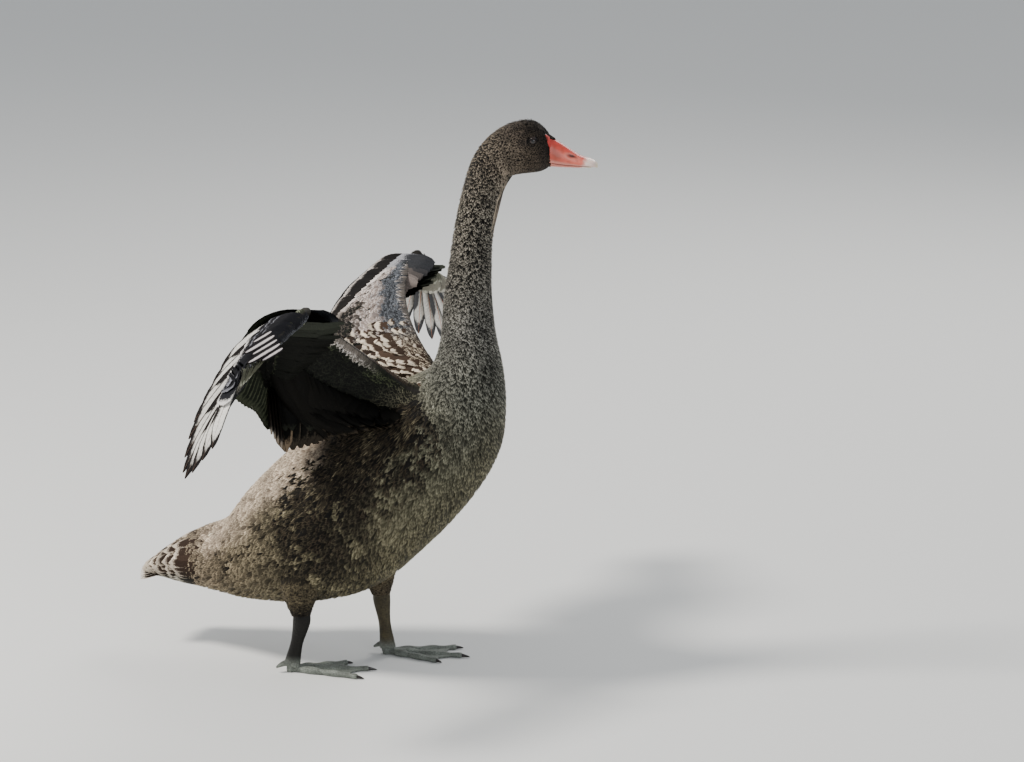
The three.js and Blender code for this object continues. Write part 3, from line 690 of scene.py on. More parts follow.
# Wings
def row_feather(row, wing, u, v):
    """The point at share v of the length of the feather at share u of its row."""
    u, v = floats(u, v)
    a, b = (wing[joint] for joint in row["joints"])
    root = lerp(a, b, lerp(*row["span"], u)[..., None])
    bend = curve(row["bends"])(u)
    reach = curve(row["reaches"])(u)
    v = v[..., None]
    return root + 2 * v * (1 - v) * bend + v * v * reach


def row_way(row, wing, u, v):
    after, before = (np.clip(u + step, 0, 1) for step in (0.05, -0.05))
    return unit(row_feather(row, wing, after, v) - row_feather(row, wing, before, v))


def row_up(row, wing, u, v):
    after, before = (np.clip(v + step, 0, 1) for step in (0.05, -0.05))
    along = row_feather(row, wing, u, after) - row_feather(row, wing, u, before)
    return unit(np.cross(along, row_way(row, wing, u, v)))


# A vane's outline is shares of its length and of its width.
ROUND_TIP = ([0, 0.08, 0.3, 0.6, 0.8, 0.9, 0.96, 1.0], [0.35, 0.75, 0.98, 1.0, 0.97, 0.84, 0.6, 0.12])
POINTED_TIP = ([0, 0.08, 0.3, 0.55, 0.75, 0.88, 0.96, 1.0], [0.4, 0.8, 1.0, 0.96, 0.84, 0.62, 0.36, 0.05])
LOOSE_TIP = ([0, 0.1, 0.4, 0.7, 0.9, 1.0], [0.4, 0.8, 1.0, 0.85, 0.5, 0.1])


def big_vanes(
    coat, centre, side, back, width, outline, painter, tilt=14, across=9, camber=0.05, patch=(0.02, 0.05),
    hand=1, thick=0.5, place=(0.1, 0.1), shaft=None, fray=0.004,
):
    """Large feathers: centre (n, rows, 3) is each shaft, side the way across it and back its
    upper side. painter(u, v, upper, n) gives the colours of either face."""
    n, rows = centre.shape[:2]
    v = np.linspace(0, 1, rows)
    u = np.linspace(-1, 1, across)
    width = np.broadcast_to(np.asarray(width, float), n)[:, None, None]
    along = unit(np.gradient(centre, axis=1))
    out = unit(side - along * np.sum(side * along, -1, keepdims=True))
    up = np.cross(along, out)
    up = up * np.sign(np.sum(up * back, -1, keepdims=True))
    offset = 0.5 * u * width * np.interp(v, *outline)[:, None]
    rise = -offset * math.tan(tilt * D) + camber * width * (1 - u ** 2)
    ragged = rng.normal(0, fray, (n, rows, across)) * smooth(np.abs(u), 0.6, 1)
    reach = np.linalg.norm(centre[:, -1] - centre[:, 0], axis=-1)[:, None, None]
    points = centre[:, :, None] + out[:, :, None] * offset[..., None] + up[:, :, None] * rise[..., None]
    points = points + along[:, :, None] * (ragged * reach)[..., None]
    uu, vv = np.meshgrid(u, v)
    spot = np.stack([place[0] + 0.9 * (np.arange(n) + 0.5) / n, np.full(n, place[1])], -1)
    faces = ((True, 0.5 * thick, 0), (False, -0.5 * thick, np.array([0, 0.06])))
    for upper, shift, beside in faces:
        face = (points + up[:, :, None] * shift) * [1, hand, 1]
        tones = painter(uu, vv, upper, n)
        coat.add(face, tones, spot + beside, uu, vv, patch, flip=(upper == (hand > 0)))
    if shaft is None:
        return
    # The shaft is a thin raised ridge on both faces.
    r = np.linspace(1, 0.25, rows)[:, None] * (0.02 * width + 0.3)
    uu, vv = np.meshgrid([-0.1, 0, 0.1], v)
    for upper, shift, _ in faces:
        low = centre + up * (shift + camber * width)
        crest = low + up * np.sign(shift) * r * 0.9
        ridge = np.stack([low - out * r, crest, low + out * r], 2) * [1, hand, 1]
        coat.add(ridge, (shaft, shaft, 0.0), spot, uu, vv, (0.003, 0.05), flip=(upper == (hand > 0)))


def fringed(n, inner, edge, start, side_start, spread, bars=0.0):
    """A painter of vanes with a fringe along the sides and tip."""
    tone = np.exp(rng.normal(0, spread, (n, 1, 1, 1)))
    inner, edge = (np.broadcast_to(c, (n, 3)).reshape(-1, 1, 1, 3) * tone for c in (inner, edge))

    def tones(u, v, upper, count):
        sides = (np.abs(u) * (0.3 + 0.7 * v) - side_start) / (1 - side_start)
        share = np.maximum(sides, (v - start) / (1 - start))
        share = share + bars * smooth(np.sin(v * 22 + u * 2), 0.2, 0.8)
        return inner, edge, np.clip(share, 0, 1)[None]

    return tones


# Painters of the flight feathers
def primary(u, v, upper, n):
    """White vanes with dark tips, a dark streak along the rear web, and painted shade along both edges."""
    i = np.arange(n)[:, None, None] / (n - 1)
    tip = (v + 0.16 * u ** 2 - (0.8 - 0.05 * i)) / 0.18
    streak = (u + 0.1) / 0.7 * within(v, 0.05, 0.2, 0.58, 0.74) * (0.6 + 0.7 * np.sin(i * 29))
    # Painted shade: thin dark edges on both sides of each vane, standing for the shade between overlapping
    # vanes.
    streak = np.maximum(streak, (np.abs(u) - 0.62) / 0.38 * 0.9)
    white = linear(232, 228, 220)
    tones = (white, linear(30, 27, 26)) if upper else (white * 0.95, linear(72, 72, 74))
    return *tones, np.clip(np.maximum(tip, streak), 0, 1)


def secondary(u, v, upper, n):
    i = np.arange(n)[:, None, None, None] / (n - 1)
    # Below, the dark is partly the feathers' own and partly painted shade, and the green tint is painted
    # light reflected from below.
    inner = linear(42, 39, 38) if upper else linear(24, 27, 19)
    pale = linear(168, 160, 150) if upper else linear(58, 61, 47)
    share = np.maximum((v - 0.9) / 0.1, (np.abs(u) - 0.82) / 0.18 * smooth(v, 0.5, 0.9))
    return inner * np.exp(0.2 * np.sin(i * 37)), pale, np.clip(share, 0, 1)[None]


def inner_secondary(u, v, upper, n):
    share = np.maximum((v - 0.88) / 0.12, 0)[None]
    if upper:
        return linear(34, 30, 27), linear(120, 110, 98), share
    # Below: near black, partly the feathers' own colour and partly painted shade.
    return linear(9, 9, 7), linear(30, 29, 24), share


def tertial(u, v, upper, n):
    i = np.arange(n)[:, None, None, None] / (n - 1)
    inner, pale = linear(66, 54, 45), linear(182, 168, 150)
    # Below, the near black is partly the feathers' own colour and partly painted shade.
    if not upper:
        inner = linear(12, 11, 9)
        pale = lerp(linear(116, 100, 82), linear(48, 43, 36), smooth(i, 0, 0.25))
    share = np.maximum((v - 0.82) / 0.18, (np.abs(u) - 0.8) / 0.2 * smooth(v, 0.4, 0.9))
    return inner, pale, np.clip(share, 0, 1)[None]


def striped(u, v, upper, n):
    share = np.maximum((np.abs(u + 0.1) - 0.02) / 0.55, (v - 0.85) / 0.15)
    return linear(232, 220, 216), linear(30, 27, 28), np.clip(share, 0, 1)[None]


def over_row(
    wing, row_name, coat, u, reach, lift, width, outline, painter, tilt=10, rows=13, size=1.0, **more
):
    """Feathers laid along the flight feathers of a row, over them where lift is above 0 and
    under them where it is below."""
    row = ROWS[row_name]
    n = len(u)
    v = np.linspace(0, 1, rows)
    at = lerp(*reach, v) * np.broadcast_to(size, n)[:, None]
    u = np.clip(u, 0, 1)[:, None] + 0 * at
    inside = np.clip(at, 0, 1)
    way, up = row_way(row, wing, u, inside), row_up(row, wing, u, inside)
    ahead = row_feather(row, wing, u, 0 * at) - row_feather(row, wing, u, 0 * at + 0.12)
    lean = up
    if abs(tilt) > 20:
        lean = up * math.cos(tilt * D) + way * math.sin(tilt * D)
    p = row_feather(row, wing, u, inside) + ahead * (np.maximum(-at, 0) / 0.12)[..., None]
    raised = lift * np.minimum(1, 0.25 + 2.5 * v) * np.exp(rng.normal(0, 0.05, (n, 1)))
    back = up if lift >= 0 else -up
    p = p + lean * raised[..., None]
    big_vanes(coat, p, way, back, width, outline, painter, tilt=tilt, hand=wing["side"], **more)


def graded(u, first, *steps):
    """Colours by the share along a row, from the first one by steps of (colour, start, end)."""
    colour = first + 0 * u[:, None]
    for then, start, end in steps:
        colour = lerp(colour, then, smooth(u, start, end)[:, None])
    return colour


def tier(
    wing, row_name, coat, count, reach, lift, width, inner, edge, start, side_start, place, bars=0.0, tilt=10
):
    """A tier of coverts over or under a row."""
    u = (np.arange(count) + 0.5) / count + rng.normal(0, 0.12 / count, count)
    painter = fringed(count, graded(u, *inner), graded(u, *edge), start, side_start, 0.12, bars)
    size = np.exp(rng.normal(0, 0.06, count))
    over_row(
        wing, row_name, coat, u, reach, lift, width, ROUND_TIP, painter, tilt, 11, size,
        across=7, thick=0.3, patch=(0.008, 0.02), camber=0.1, place=(0.02, place),
    )


soot, cream, slate = linear(26, 24, 23), linear(214, 204, 196), [linear(27, 27, 30)]
# black and coal, the underwing's colours, are partly the feathers' own and partly painted shade.
black, coal_and_shade = [linear(6, 6, 5)], [linear(30, 31, 25)]
# Tiers of coverts: the row, how many, their reach along it, lift, width, the colours inside and
# at the edge, where the fringe starts at the tip and at the sides, and the place on the unwrap.
ABOVE = [
    ("secondaries", 20, (-0.1, 0.62), 4.5, 26, [soot], [linear(168, 160, 152)], 0.78, 0.66, 0.05),
    (
        "secondaries", 24, (-0.22, 0.36), 6.5, 22,
        [soot, (linear(30, 27, 25), 0.5, 0.7)], [cream * 0.8], 0.7, 0.55, 0.2,
    ),
    (
        "secondaries", 28, (-0.34, 0.1), 8.5, 19,
        [linear(46, 47, 50), (linear(176, 162, 154) * 0.5, 0.1, 0.3), (soot, 0.6, 0.75)],
        [linear(150, 150, 154), (cream, 0.1, 0.3), (linear(140, 130, 122), 0.6, 0.8)], 0.52, 0.35, 0.35,
    ),
    ("tertials", 10, (-0.15, 0.72), 4.5, 30, [linear(54, 43, 35)], [cream], 0.74, 0.62, 0.5),
    ("tertials", 12, (-0.3, 0.45), 6.5, 26, [linear(58, 47, 38)], [cream], 0.74, 0.62, 0.65),
]
# Below the wing the near black of the linings is partly their own colour and partly painted shade.
BELOW = [
    ("secondaries", 18, (-0.12, 0.56), -3.5, 25, black, coal_and_shade, 0.93, 0.92, 0.05),
    ("secondaries", 22, (-0.26, 0.36), -5.5, 21, black, coal_and_shade, 0.92, 0.92, 0.2),
    # Painted reflected light: this tier's greenish tones are light reflected from below onto the underwing.
    (
        "secondaries", 26, (-0.42, 0.16), -7.5, 18, [linear(46, 49, 42), (linear(12, 13, 10), 0.08, 0.3)],
        [linear(98, 102, 90), (linear(44, 47, 36), 0.08, 0.3)], 0.8, 0.8, 0.35,
    ),
    ("tertials", 10, (-0.2, 0.8), -4, 30, black, coal_and_shade, 0.93, 0.92, 0.5),
    ("tertials", 12, (-0.3, 0.52), -7, 27, black, coal_and_shade, 0.93, 0.92, 0.65),
    (
        "primaries", 12, (-0.04, 0.36), -3.5, 18,
        [linear(120, 116, 104)], [linear(190, 186, 172)], 0.84, 0.84, 0.8, 0.4,
    ),
    (
        "primaries", 16, (-0.06, 0.18), -5, 14,
        [linear(84, 84, 70)], [linear(176, 176, 158)], 0.84, 0.84, 0.9, 0.4,
    ),
]

for name, wing in WINGS.items():
    left = wing["side"] > 0
    flight = Coat("wing_flight_" + name, FLIGHT_FEATHER, "flight_feathers")
    u = np.arange(11) / 10
    width = lerp(22, 30, u) * (1 if left else 0.46)
    over_row(
        wing, "primaries", flight, u, (0, 1), 0.0, width, POINTED_TIP, primary, 14 if left else -50, 17,
        place=(0.02, 0.05), shaft=linear(214, 132, 92) if left else linear(120, 96, 80),
    )
    u = np.arange(18) / 17
    over_row(
        wing, "secondaries", flight, u, (0, 1), 0.0, lerp(31, 36, u), ROUND_TIP, secondary,
        10, 17, place=(0.02, 0.25), shaft=linear(40, 36, 30),
    )
    # Four more fill the gap between the secondaries and the tertials.
    v = np.linspace(0, 1, 15)
    ends = row_feather(ROWS["secondaries"], wing, 1.0, v), row_feather(ROWS["tertials"], wing, 0.0, v)
    centre = lerp(*ends, np.array([0.2, 0.4, 0.6, 0.8])[:, None, None])
    big_vanes(
        flight, centre, wing["elbow"] - wing["wrist"], row_up(ROWS["secondaries"], wing, 1.0, v), 34,
        ROUND_TIP, inner_secondary, tilt=10, hand=wing["side"], place=(0.02, 0.35),
    )
    u = np.linspace(-0.12, 1.0, 10)
    over_row(
        wing, "tertials", flight, u, (0, 1), 0.0, lerp(30, 36, u), ROUND_TIP, tertial,
        8, 15, place=(0.02, 0.45), shaft=linear(34, 28, 24),
    )

    # The alula, striped black and white, lies along the hand's outer side.
    v = np.linspace(0, 1, 13)[:, None]
    i = np.arange(5)[:, None]
    outward = unit(np.array([0.38, 0.897, 0.225]))
    root = lerp(wing["wrist"], wing["tip"], 0.42) + outward * (15 + i) + np.array([4.0, 0, -5.2]) * (i - 2)
    along = (wing["tip"] - wing["wrist"]) * 0.42 + np.array([-6, 0, 9])
    reach = np.array([0.62, 1.0, 0.84, 1.08, 0.7])[:, None, None]
    big_vanes(
        flight, root[:, None] + along * v * reach - outward * 5 * v * v, np.cross(outward, along), outward,
        [7, 9.5, 7.5, 9.5, 8], POINTED_TIP, striped, tilt=8, hand=wing["side"], thick=0.4, place=(0.02, 0.65),
    )

    # Coverts above: pale in the middle and black towards the elbow.
    coat = Coat("wing_coverts_" + name, FLIGHT_FEATHER, "flight_feathers")
    for row_name, *rest in ABOVE:
        tier(wing, row_name, coat, *rest)
    roll = 12 if left else -46
    high = 0 if left else 1.5
    rim = [linear(124, 124, 130)]
    for rest in (
        (15, (-0.04, 0.44), 4 + high, 20 if left else 15, slate, [linear(206, 202, 198)], 0.72, 0.6, 0.8),
        (20, (-0.06, 0.30), 5.5 + 2 * high, 16, slate, rim, 0.74, 0.6, 0.88),
        (24, (-0.1, 0.18), 7 + 3 * high, 14, slate, rim, 0.74, 0.6, 0.92),
    ):
        tier(wing, "primaries", coat, *rest, tilt=roll)

    # Dark coverts below, their black partly the feathers' own and partly painted shade
    coat = Coat("wing_lining_" + name, FLIGHT_FEATHER, "flight_feathers")
    for row_name, *rest in BELOW:
        tier(wing, row_name, coat, *rest)

    # The axillaries hang from the arm's underside over the body's side; their black is partly their own and
    # partly painted shade under the arm.
    for row, (angle, count, length) in enumerate([(-158, 14, 1.0), (-128, 14, 0.86), (-100, 12, 0.7)]):
        t = np.linspace(0.02, 0.62, count) + rng.normal(0, 0.012, count)
        share = t / 0.62
        root = arm_point(dict(wing, side=1), t, angle, -1)[:, None]
        tip = trunk_point(lerp(8.0, 5.9, share), lerp(24, 52, share), 7.0 + 2 * row)[:, None]
        tip = lerp(root, tip, length)
        centre = bent(root, lerp(root, tip, 0.5) + np.array([-4.0, 10, 3]), tip, v)
        painter = fringed(count, linear(9, 8, 6), linear(46, 40, 32), 0.88, 0.86, 0.2)
        big_vanes(
            coat, centre, np.array([-0.8, 0.3, 0.3]), np.array([0, 1.0, -0.3]), 24, LOOSE_TIP, painter,
            tilt=8, across=7, camber=0.12, patch=(0.008, 0.02), hand=wing["side"], thick=0.3,
            place=(0.02, 0.93), fray=0.012,
        )


def wing_skin_colours(kind, along, angle, p):
    """Colours of the small feathers of the arm and hand. angle is above 0 on top."""
    top = angle > 0
    share = np.abs(angle) / 180
    blot = waves(p, 26, 33) + 0.6 * waves(p, 9, 34)
    above, below = top[:, None], ~top
    if kind == "arm":
        # Below the arm the near black is partly the feathers' own colour and partly painted shade.
        tones = (
            np.where(above, linear(150, 136, 128), linear(9, 9, 7)),
            np.where(above, linear(214, 203, 196), linear(30, 32, 25)),
        )
        # Above: slate along the leading edge, pale behind it and black at the rear.
        band = top * (1 - smooth(share + 0.03 * blot, 0.3, 0.4))
        rear = top * smooth(share + 0.12 * blot, 0.5, 0.64) * smooth(along, 0.2, 0.4)
        rear = rear * (1 - 0.8 * smooth(along, 0.7, 0.85))
        spotted = top * smooth(blot, 0.4, 0.9) * smooth(share, 0.34, 0.5)
        # Below: a mottled band behind the leading edge, painted greenish as light reflected from below, and a
        # pale line along it.
        under = below * (1 - smooth(share + 0.05 * blot, 0.06, 0.2))
        line = (1 - smooth(np.abs(angle + 6), 5, 13)) * smooth(along, 0.2, 0.45)
        inner = top * (1 - smooth(along, 0.2, 0.42))
        behind = top * smooth(share, 0.49, 0.65) * within(along, 0.1, 0.24, 0.6, 0.75)
        chest = (below | (share < 0.12)) * (1 - smooth(along, 0.02, 0.2))
        marks = [
            ((50, 52, 56), (112, 116, 122), band), ((17, 15, 14), (98, 90, 82), rear),
            ((52, 46, 42), (0, 0, 0), spotted, (0.8, 0)), ((22, 25, 16), (78, 84, 60), under),
            ((110, 102, 94), (222, 212, 204), line), ((66, 53, 43), (206, 192, 170), inner),
            ((13, 11, 10), (76, 70, 62), behind), ((28, 27, 21), (104, 100, 82), chest),
        ]
    else:
        tones = (
            np.where(above, linear(26, 26, 29), linear(40, 42, 32)),
            np.where(above, linear(92, 93, 98), linear(150, 152, 132)),
        )
        marks = [((12, 12, 10), (40, 40, 34), below * smooth(blot, -0.3, 0.4))]
    for mark in marks:
        tones = tinted(tones, *mark)
    tone = np.exp(0.14 * waves(p, 30, 41))[:, None]
    return tones[0] * tone, tones[1] * tone


def limb_feathers(coat, wing, kind, point, span, end, largest):
    """Small feathers over the arm or the hand, from the leading edge to the rear."""
    reach = arc_length(point(wing, np.linspace(*span, 60), 0))[-1]
    for sign in (1, -1):
        rows = []
        angle = 2.0
        while angle < end:
            size = lerp(6.0, largest, min(1.0, angle / 110))
            n = int(reach / (size * 0.34))
            t = lerp(*span, (np.arange(n) + rng.uniform(0.1, 0.9, n)) / n)
            step = point(wing, 0.5, sign * (angle + 2)) - point(wing, 0.5, sign * angle)
            rows.append(np.stack([sign * angle + rng.uniform(-1, 1, n), t, np.full(n, size)], -1))
            angle += size * 0.28 / max(np.linalg.norm(step) / 2, 0.15)
        a, t, size = np.vstack(rows).T
        # The scapulars cover the arm's inner back.
        keep = ~((kind == "arm") & (a > 58) & (t < 0.36))
        a, t, size = a[keep], t[keep], size[keep]
        n = len(t)
        size = size * np.exp(rng.normal(0, 0.12, n))
        points = over_surface(
            lambda x, y, h: point(wing, np.clip(y, 0, 1), x, h), a, t, size, size * 0.58,
            np.abs(rng.normal(0.6, 0.4, n)), FINE, rng.normal(0, 0.14, n), np.full(n, 2.2),
            (sign * 0.5, 0.004),
        )
        tones = wing_skin_colours(kind, t, a, point(wing, t, a))
        coat.lay(points, *tones, FINE, spots(t, 0.5 + 0.5 * a / 180), flip=(sign * wing["side"] < 0))


for name, wing in WINGS.items():
    coat = Coat("wing_small_" + name, BODY_FEATHER)
    limb_feathers(coat, wing, "arm", arm_point, (0.02, 0.97), 172, 17.0)
    limb_feathers(coat, wing, "hand", hand_point, (0.0, 0.97), 170, 12.0)

# Scapulars: scalloped brown feathers with pale fringes on the inner arm's back and over the shoulder.
broad_v = np.linspace(0, 1, 9)[:, None] * np.ones((1, 7))
broad_u = np.linspace(-1, 1, 7)[None]
broad_rim = np.maximum((broad_v - 0.66) / 0.24, (np.abs(broad_u) * (0.3 + 0.7 * broad_v) - 0.52) / 0.4)
BROAD = (broad_v, broad_u * np.interp(broad_v[:, 0], *ROUND_TIP)[:, None], np.clip(broad_rim, 0, 1))
ROW_GAP = 9.5
PER_ROW = 7
for name, wing in WINGS.items():
    fine = np.linspace(14, 170, 200)
    arc = arc_length(arm_point(wing, 0.2, fine))
    rows = []
    for k, angle in enumerate(np.interp(np.arange(0, arc[-1], ROW_GAP), arc, fine)):
        t = np.arange(PER_ROW) + 0.5 * (k % 2) + rng.uniform(-0.15, 0.15, PER_ROW)
        rows.append(np.stack([angle + rng.uniform(-2, 2, PER_ROW), 0.02 + t / PER_ROW * 0.44], -1))
    a, t = np.vstack(rows).T
    n = len(t)
    size = lerp(13, 28, smooth(a, 14, 80)) * np.exp(rng.normal(0, 0.08, n))
    points = over_surface(
        lambda x, y, h: arm_point(wing, np.clip(y, 0, 1), np.clip(x, 0, 178), h), a, t, size, size * 0.8,
        np.abs(rng.normal(2.2, 0.8, n)), BROAD, rng.normal(0, 0.1, n), np.full(n, 1.5), (0.5, 0.004),
    )
    tones = linear(60, 47, 38) * np.exp(rng.normal(0, 0.15, (n, 1))), linear(214, 200, 180)
    tones = tinted(tones, (13, 11, 10), (92, 84, 74), smooth(a, 88, 118) * smooth(t, 0.1, 0.24))
    coat = Coat("wing_scapulars_" + name, FLIGHT_FEATHER)
    coat.lay(points, *tones, BROAD, spots(t / 0.5, a / 180), flip=(wing["side"] < 0))

# Long loose black feathers on the body's side behind the arm
coat = Coat("coat_flank", BODY_FEATHER)
for right in (False, True):
    n = 1100
    s = rng.uniform(5.4, 9.6, n)
    lane = lerp(8, 34, (s - 5.6) / 4) + rng.normal(0, 13, n) + 12
    keep = rng.uniform(0, 1, n) < np.interp(s, [5.6, 6.6, 9.0, 9.6], [0.4, 1, 1, 0.4])
    s, lane = s[keep], np.clip(lane[keep], -18, 56)
    a = 180 - lane if right else lane
    n = len(s)
    size = rng.uniform(24, 44, n)
    points = over_surface(
        trunk_surface, s, a, size, size * 0.24, np.abs(rng.normal(2.0, 1.4, n)), LONG,
        rng.normal(0, 0.2, n) + (0.25 if right else -0.25), coat_depth(s), (-0.02, 0.5),
    )
    light = smooth(waves(trunk_point(s, a), 30, 77), 0.3, 1.0)
    tones = tinted((linear(11, 9, 7), linear(62, 54, 42)), (40, 35, 26), (128, 118, 94), light)
    coat.lay(points, *tones, LONG, spots((a % 360) / 360, (s - 5) / 5), spread=0.25)

# The tail's fan and its coverts
count = 19
v = np.linspace(0, 1, 15)
place = ((np.arange(count) + 0.5) / count - 0.5)[:, None]
order = np.abs(place) * 2
reach = lerp(-38, 43 - 9 * order, v)
angle = place * 60
centre = np.stack(floats(
    TAIL_END[0] - reach * cosd(angle), (reach + 38) * sind(angle) * 0.9 + place * 12,
    TAIL_END[2] - reach * 0.3 - 12 * order * order + 2.2 * (1 - order),
), -1)
side = np.stack(floats(0 * reach, np.where(place < 0, 1.0, -1.0), 0.35 * order), -1)
painter = fringed(count, linear(36, 28, 23), linear(214, 204, 190), 0.8, 0.55, 0.14)
coat = Coat("tail_fan", FLIGHT_FEATHER, "flight_feathers")
big_vanes(coat, centre, side, np.array([0, 0, 1.0]), 15, ROUND_TIP, painter, tilt=8, shaft=linear(48, 38, 32))

coat = Coat("tail_coverts", FLIGHT_FEATHER)
v = np.linspace(0, 1, 9)[:, None]
for k, (section, tip_x, half_width, half_depth, width, count) in enumerate([
    (0.5, -290, 30, 6, 14, 26), (0.9, -284, 32, 9, 15, 28), (1.3, -276, 34, 13, 15, 30),
    (1.7, -266, 36, 18, 16, 32), (2.1, -254, 39, 25, 16, 34), (2.6, -238, 43, 32, 17, 36),
]):
    a = (np.arange(count) + 0.5 * (k % 2) + rng.uniform(-0.2, 0.2, count)) * 360 / count
    root = trunk_point(section, a, -4)
    knee = trunk_point(section - 0.5, a, -2.5 + 3 * (k < 2))
    tip_z = TAIL_END[2] - (TAIL_END[0] - tip_x) * 0.3 + half_depth * sind(a)
    tip = np.stack([tip_x + rng.uniform(-5, 5, count), half_width * cosd(a), tip_z], -1)
    out = np.stack([0 * a, cosd(a), sind(a)], -1)[:, None]
    side = np.stack([0 * a, sind(a), -cosd(a)], -1)[:, None]
    tones = linear(50, 39, 32), linear(196, 182, 164)
    tones = tinted(tones, (26, 24, 19), (170, 164, 150), smooth(-sind(a), 0.1, 0.6))
    big_vanes(
        coat, bent(root[:, None], knee[:, None], tip[:, None], v), side, out, width, ROUND_TIP,
        fringed(count, *tones, 0.7, 0.5, 0.2), tilt=8, across=5, thick=0.3, camber=0.1,
        patch=(0.006, 0.012), place=(0.02, 0.1 + 0.1 * k),
    )

for coat in coats:
    coat.build()


# The skin
def trunk_tube(t, a, radius):
    s = t * LAST
    centre = (trunk_point(s, 0 * a) + trunk_point(s, 0 * a + 180)) / 2
    return lerp(centre, trunk_point(s, a, -coat_depth(s)), radius)


SIDEWAYS = np.array([0, 1.0, 0])
UPWARDS = np.array([0, 0, 1.0])


def limb(points, radii, flatten, place=None, grow=0.0, bulge=None):
    """A place function of a tube along the points."""
    path, sizes_at = curve(points), curve(np.array(radii, float)[:, None])

    def at(t, a, radius):
        t, a = floats(t, a)
        way = unit(path(np.clip(t + 0.02, 0, 1)) - path(np.clip(t - 0.02, 0, 1)))
        r = (sizes_at(t)[..., 0] + grow) * radius
        if bulge is not None:
            r = r * bulge(t, a)
        p = ellipse(path(t), a, unit(np.cross(SIDEWAYS, way)), r, SIDEWAYS, r * flatten)
        return p if place is None else place(p)

    return at


def thigh_at(leg, grow):
    ankle, hip = (np.array(leg[joint], float) for joint in ("ankle", "hip"))
    return limb([ankle - [1, 0, 2], (ankle + hip) / 2 - [0, 0, 8], hip], (13, 24, 33), 0.85, grow=grow)


parts = [tube_mesh(trunk_tube, 260, 96, (0.001, 0.9995))]
for wing in WINGS.values():
    parts.append(tube_mesh(lambda t, a, r: arm_point(wing, t, a, -1.8, r), 70, 40))
    parts.append(tube_mesh(lambda t, a, r: hand_point(wing, t, a, -1.6, r), 50, 28, (-0.06, 0.98)))
for leg in LEGS.values():
    parts.append(tube_mesh(thigh_at(leg, -3.0), 40, 36))
skin = remeshed("skin", parts, SKIN_VOXEL, 4)
# Each point of the skin has the colour of the plumage nearest to it.
co = points_of(skin)
near_s, near_a = np.meshgrid(np.linspace(0, LAST, 150), np.arange(0.0, 360, 8), indexing="ij")
nearby = kdtree.KDTree(near_s.size)
for i, p in enumerate(trunk_point(near_s, near_a, -4).reshape(-1, 3)):
    nearby.insert(p, i)
nearby.balance()
nearest = np.array([nearby.find(p)[1] for p in co])
base, fringe = trunk_colours(near_s.ravel()[nearest], near_a.ravel()[nearest], co)
paint(skin, "Coat", base * 0.85 + fringe * 0.15)
stuff, tree, bsdf = material("skin under feathers", 0.85, 0.2)
fuzz = noise(tree, 420, 4)
connect(tree, bsdf, {"Base Color": mix_colour(tree, fuzz, painted(tree, "Coat"), (0.02, 0.018, 0.016, 1))})
bump(tree, bsdf, fuzz, 0.6, 0.001)
finish_piece(
    skin, stuff, "plumage", "tail", "torso", "neck_lower", "neck_middle", "neck_upper", "head",
    "wing_left_arm", "wing_left_hand", "wing_right_arm", "wing_right_hand", "thigh_left", "thigh_right",
)

# Thigh feathers
for name, leg in LEGS.items():
    n = 2400
    t = rng.uniform(0.03, 1.0, n)
    a = rng.uniform(0, 360, n)
    flesh = thigh_at(leg, 0.0)

    def at(x, y, h):
        base, centre = (flesh(np.clip(x, 0, 1), y, radius) for radius in (1.0, 0.001))
        return base + unit(base - centre) * np.asarray(h)[..., None]

    size = lerp(9, 18, t) * np.exp(rng.normal(0, 0.12, n))
    points = over_surface(
        at, t, a, size, size * 0.5, np.abs(rng.normal(0.4, 0.4, n)), FINE, rng.normal(0, 0.2, n),
        np.full(n, 3.0), (-0.01, 1.0),
    )
    # Painted light and shade: the right thigh is painted darker, as in shade, and the left one paler, as lit.
    dark, light = (linear(12, 10, 8), linear(44, 38, 30)), (linear(34, 30, 23), linear(88, 78, 62))
    tones = tinted(dark if leg["side"] < 0 else light, (42, 37, 28), (92, 83, 64), smooth(t, 0.25, 0.7))
    tone = np.exp(0.25 * waves(at(t, a, 0 * t), 20, 51))[:, None]
    coat = Coat("coat_thigh_" + name, BODY_FEATHER, later=False)
    coat.lay(points, tones[0] * tone, tones[1] * tone, FINE, spots(a / 360, t))
    coat.build()

# The bill
DOME = 0.92


def bill_point(sections, upper, t, a, radius=1.0):
    top = curve(np.stack([sections[:, 0], 0 * sections[:, 0], sections[:, 1]], -1))(t)[..., 2]
    x, half_width, low = np.moveaxis(curve(sections[:, [0, 3, 2]])(t), -1, 0)
    mouth, far = (low, top) if upper else (top, low)
    dome = np.maximum(0, sind(a) if upper else -sind(a))
    rise = (far - mouth) * dome ** DOME * radius
    return turned(np.stack([x, half_width * cosd(a) * radius, mouth + rise], -1))


def toward(colours, colour, weight):
    return lerp(colours, colour, weight[:, None])


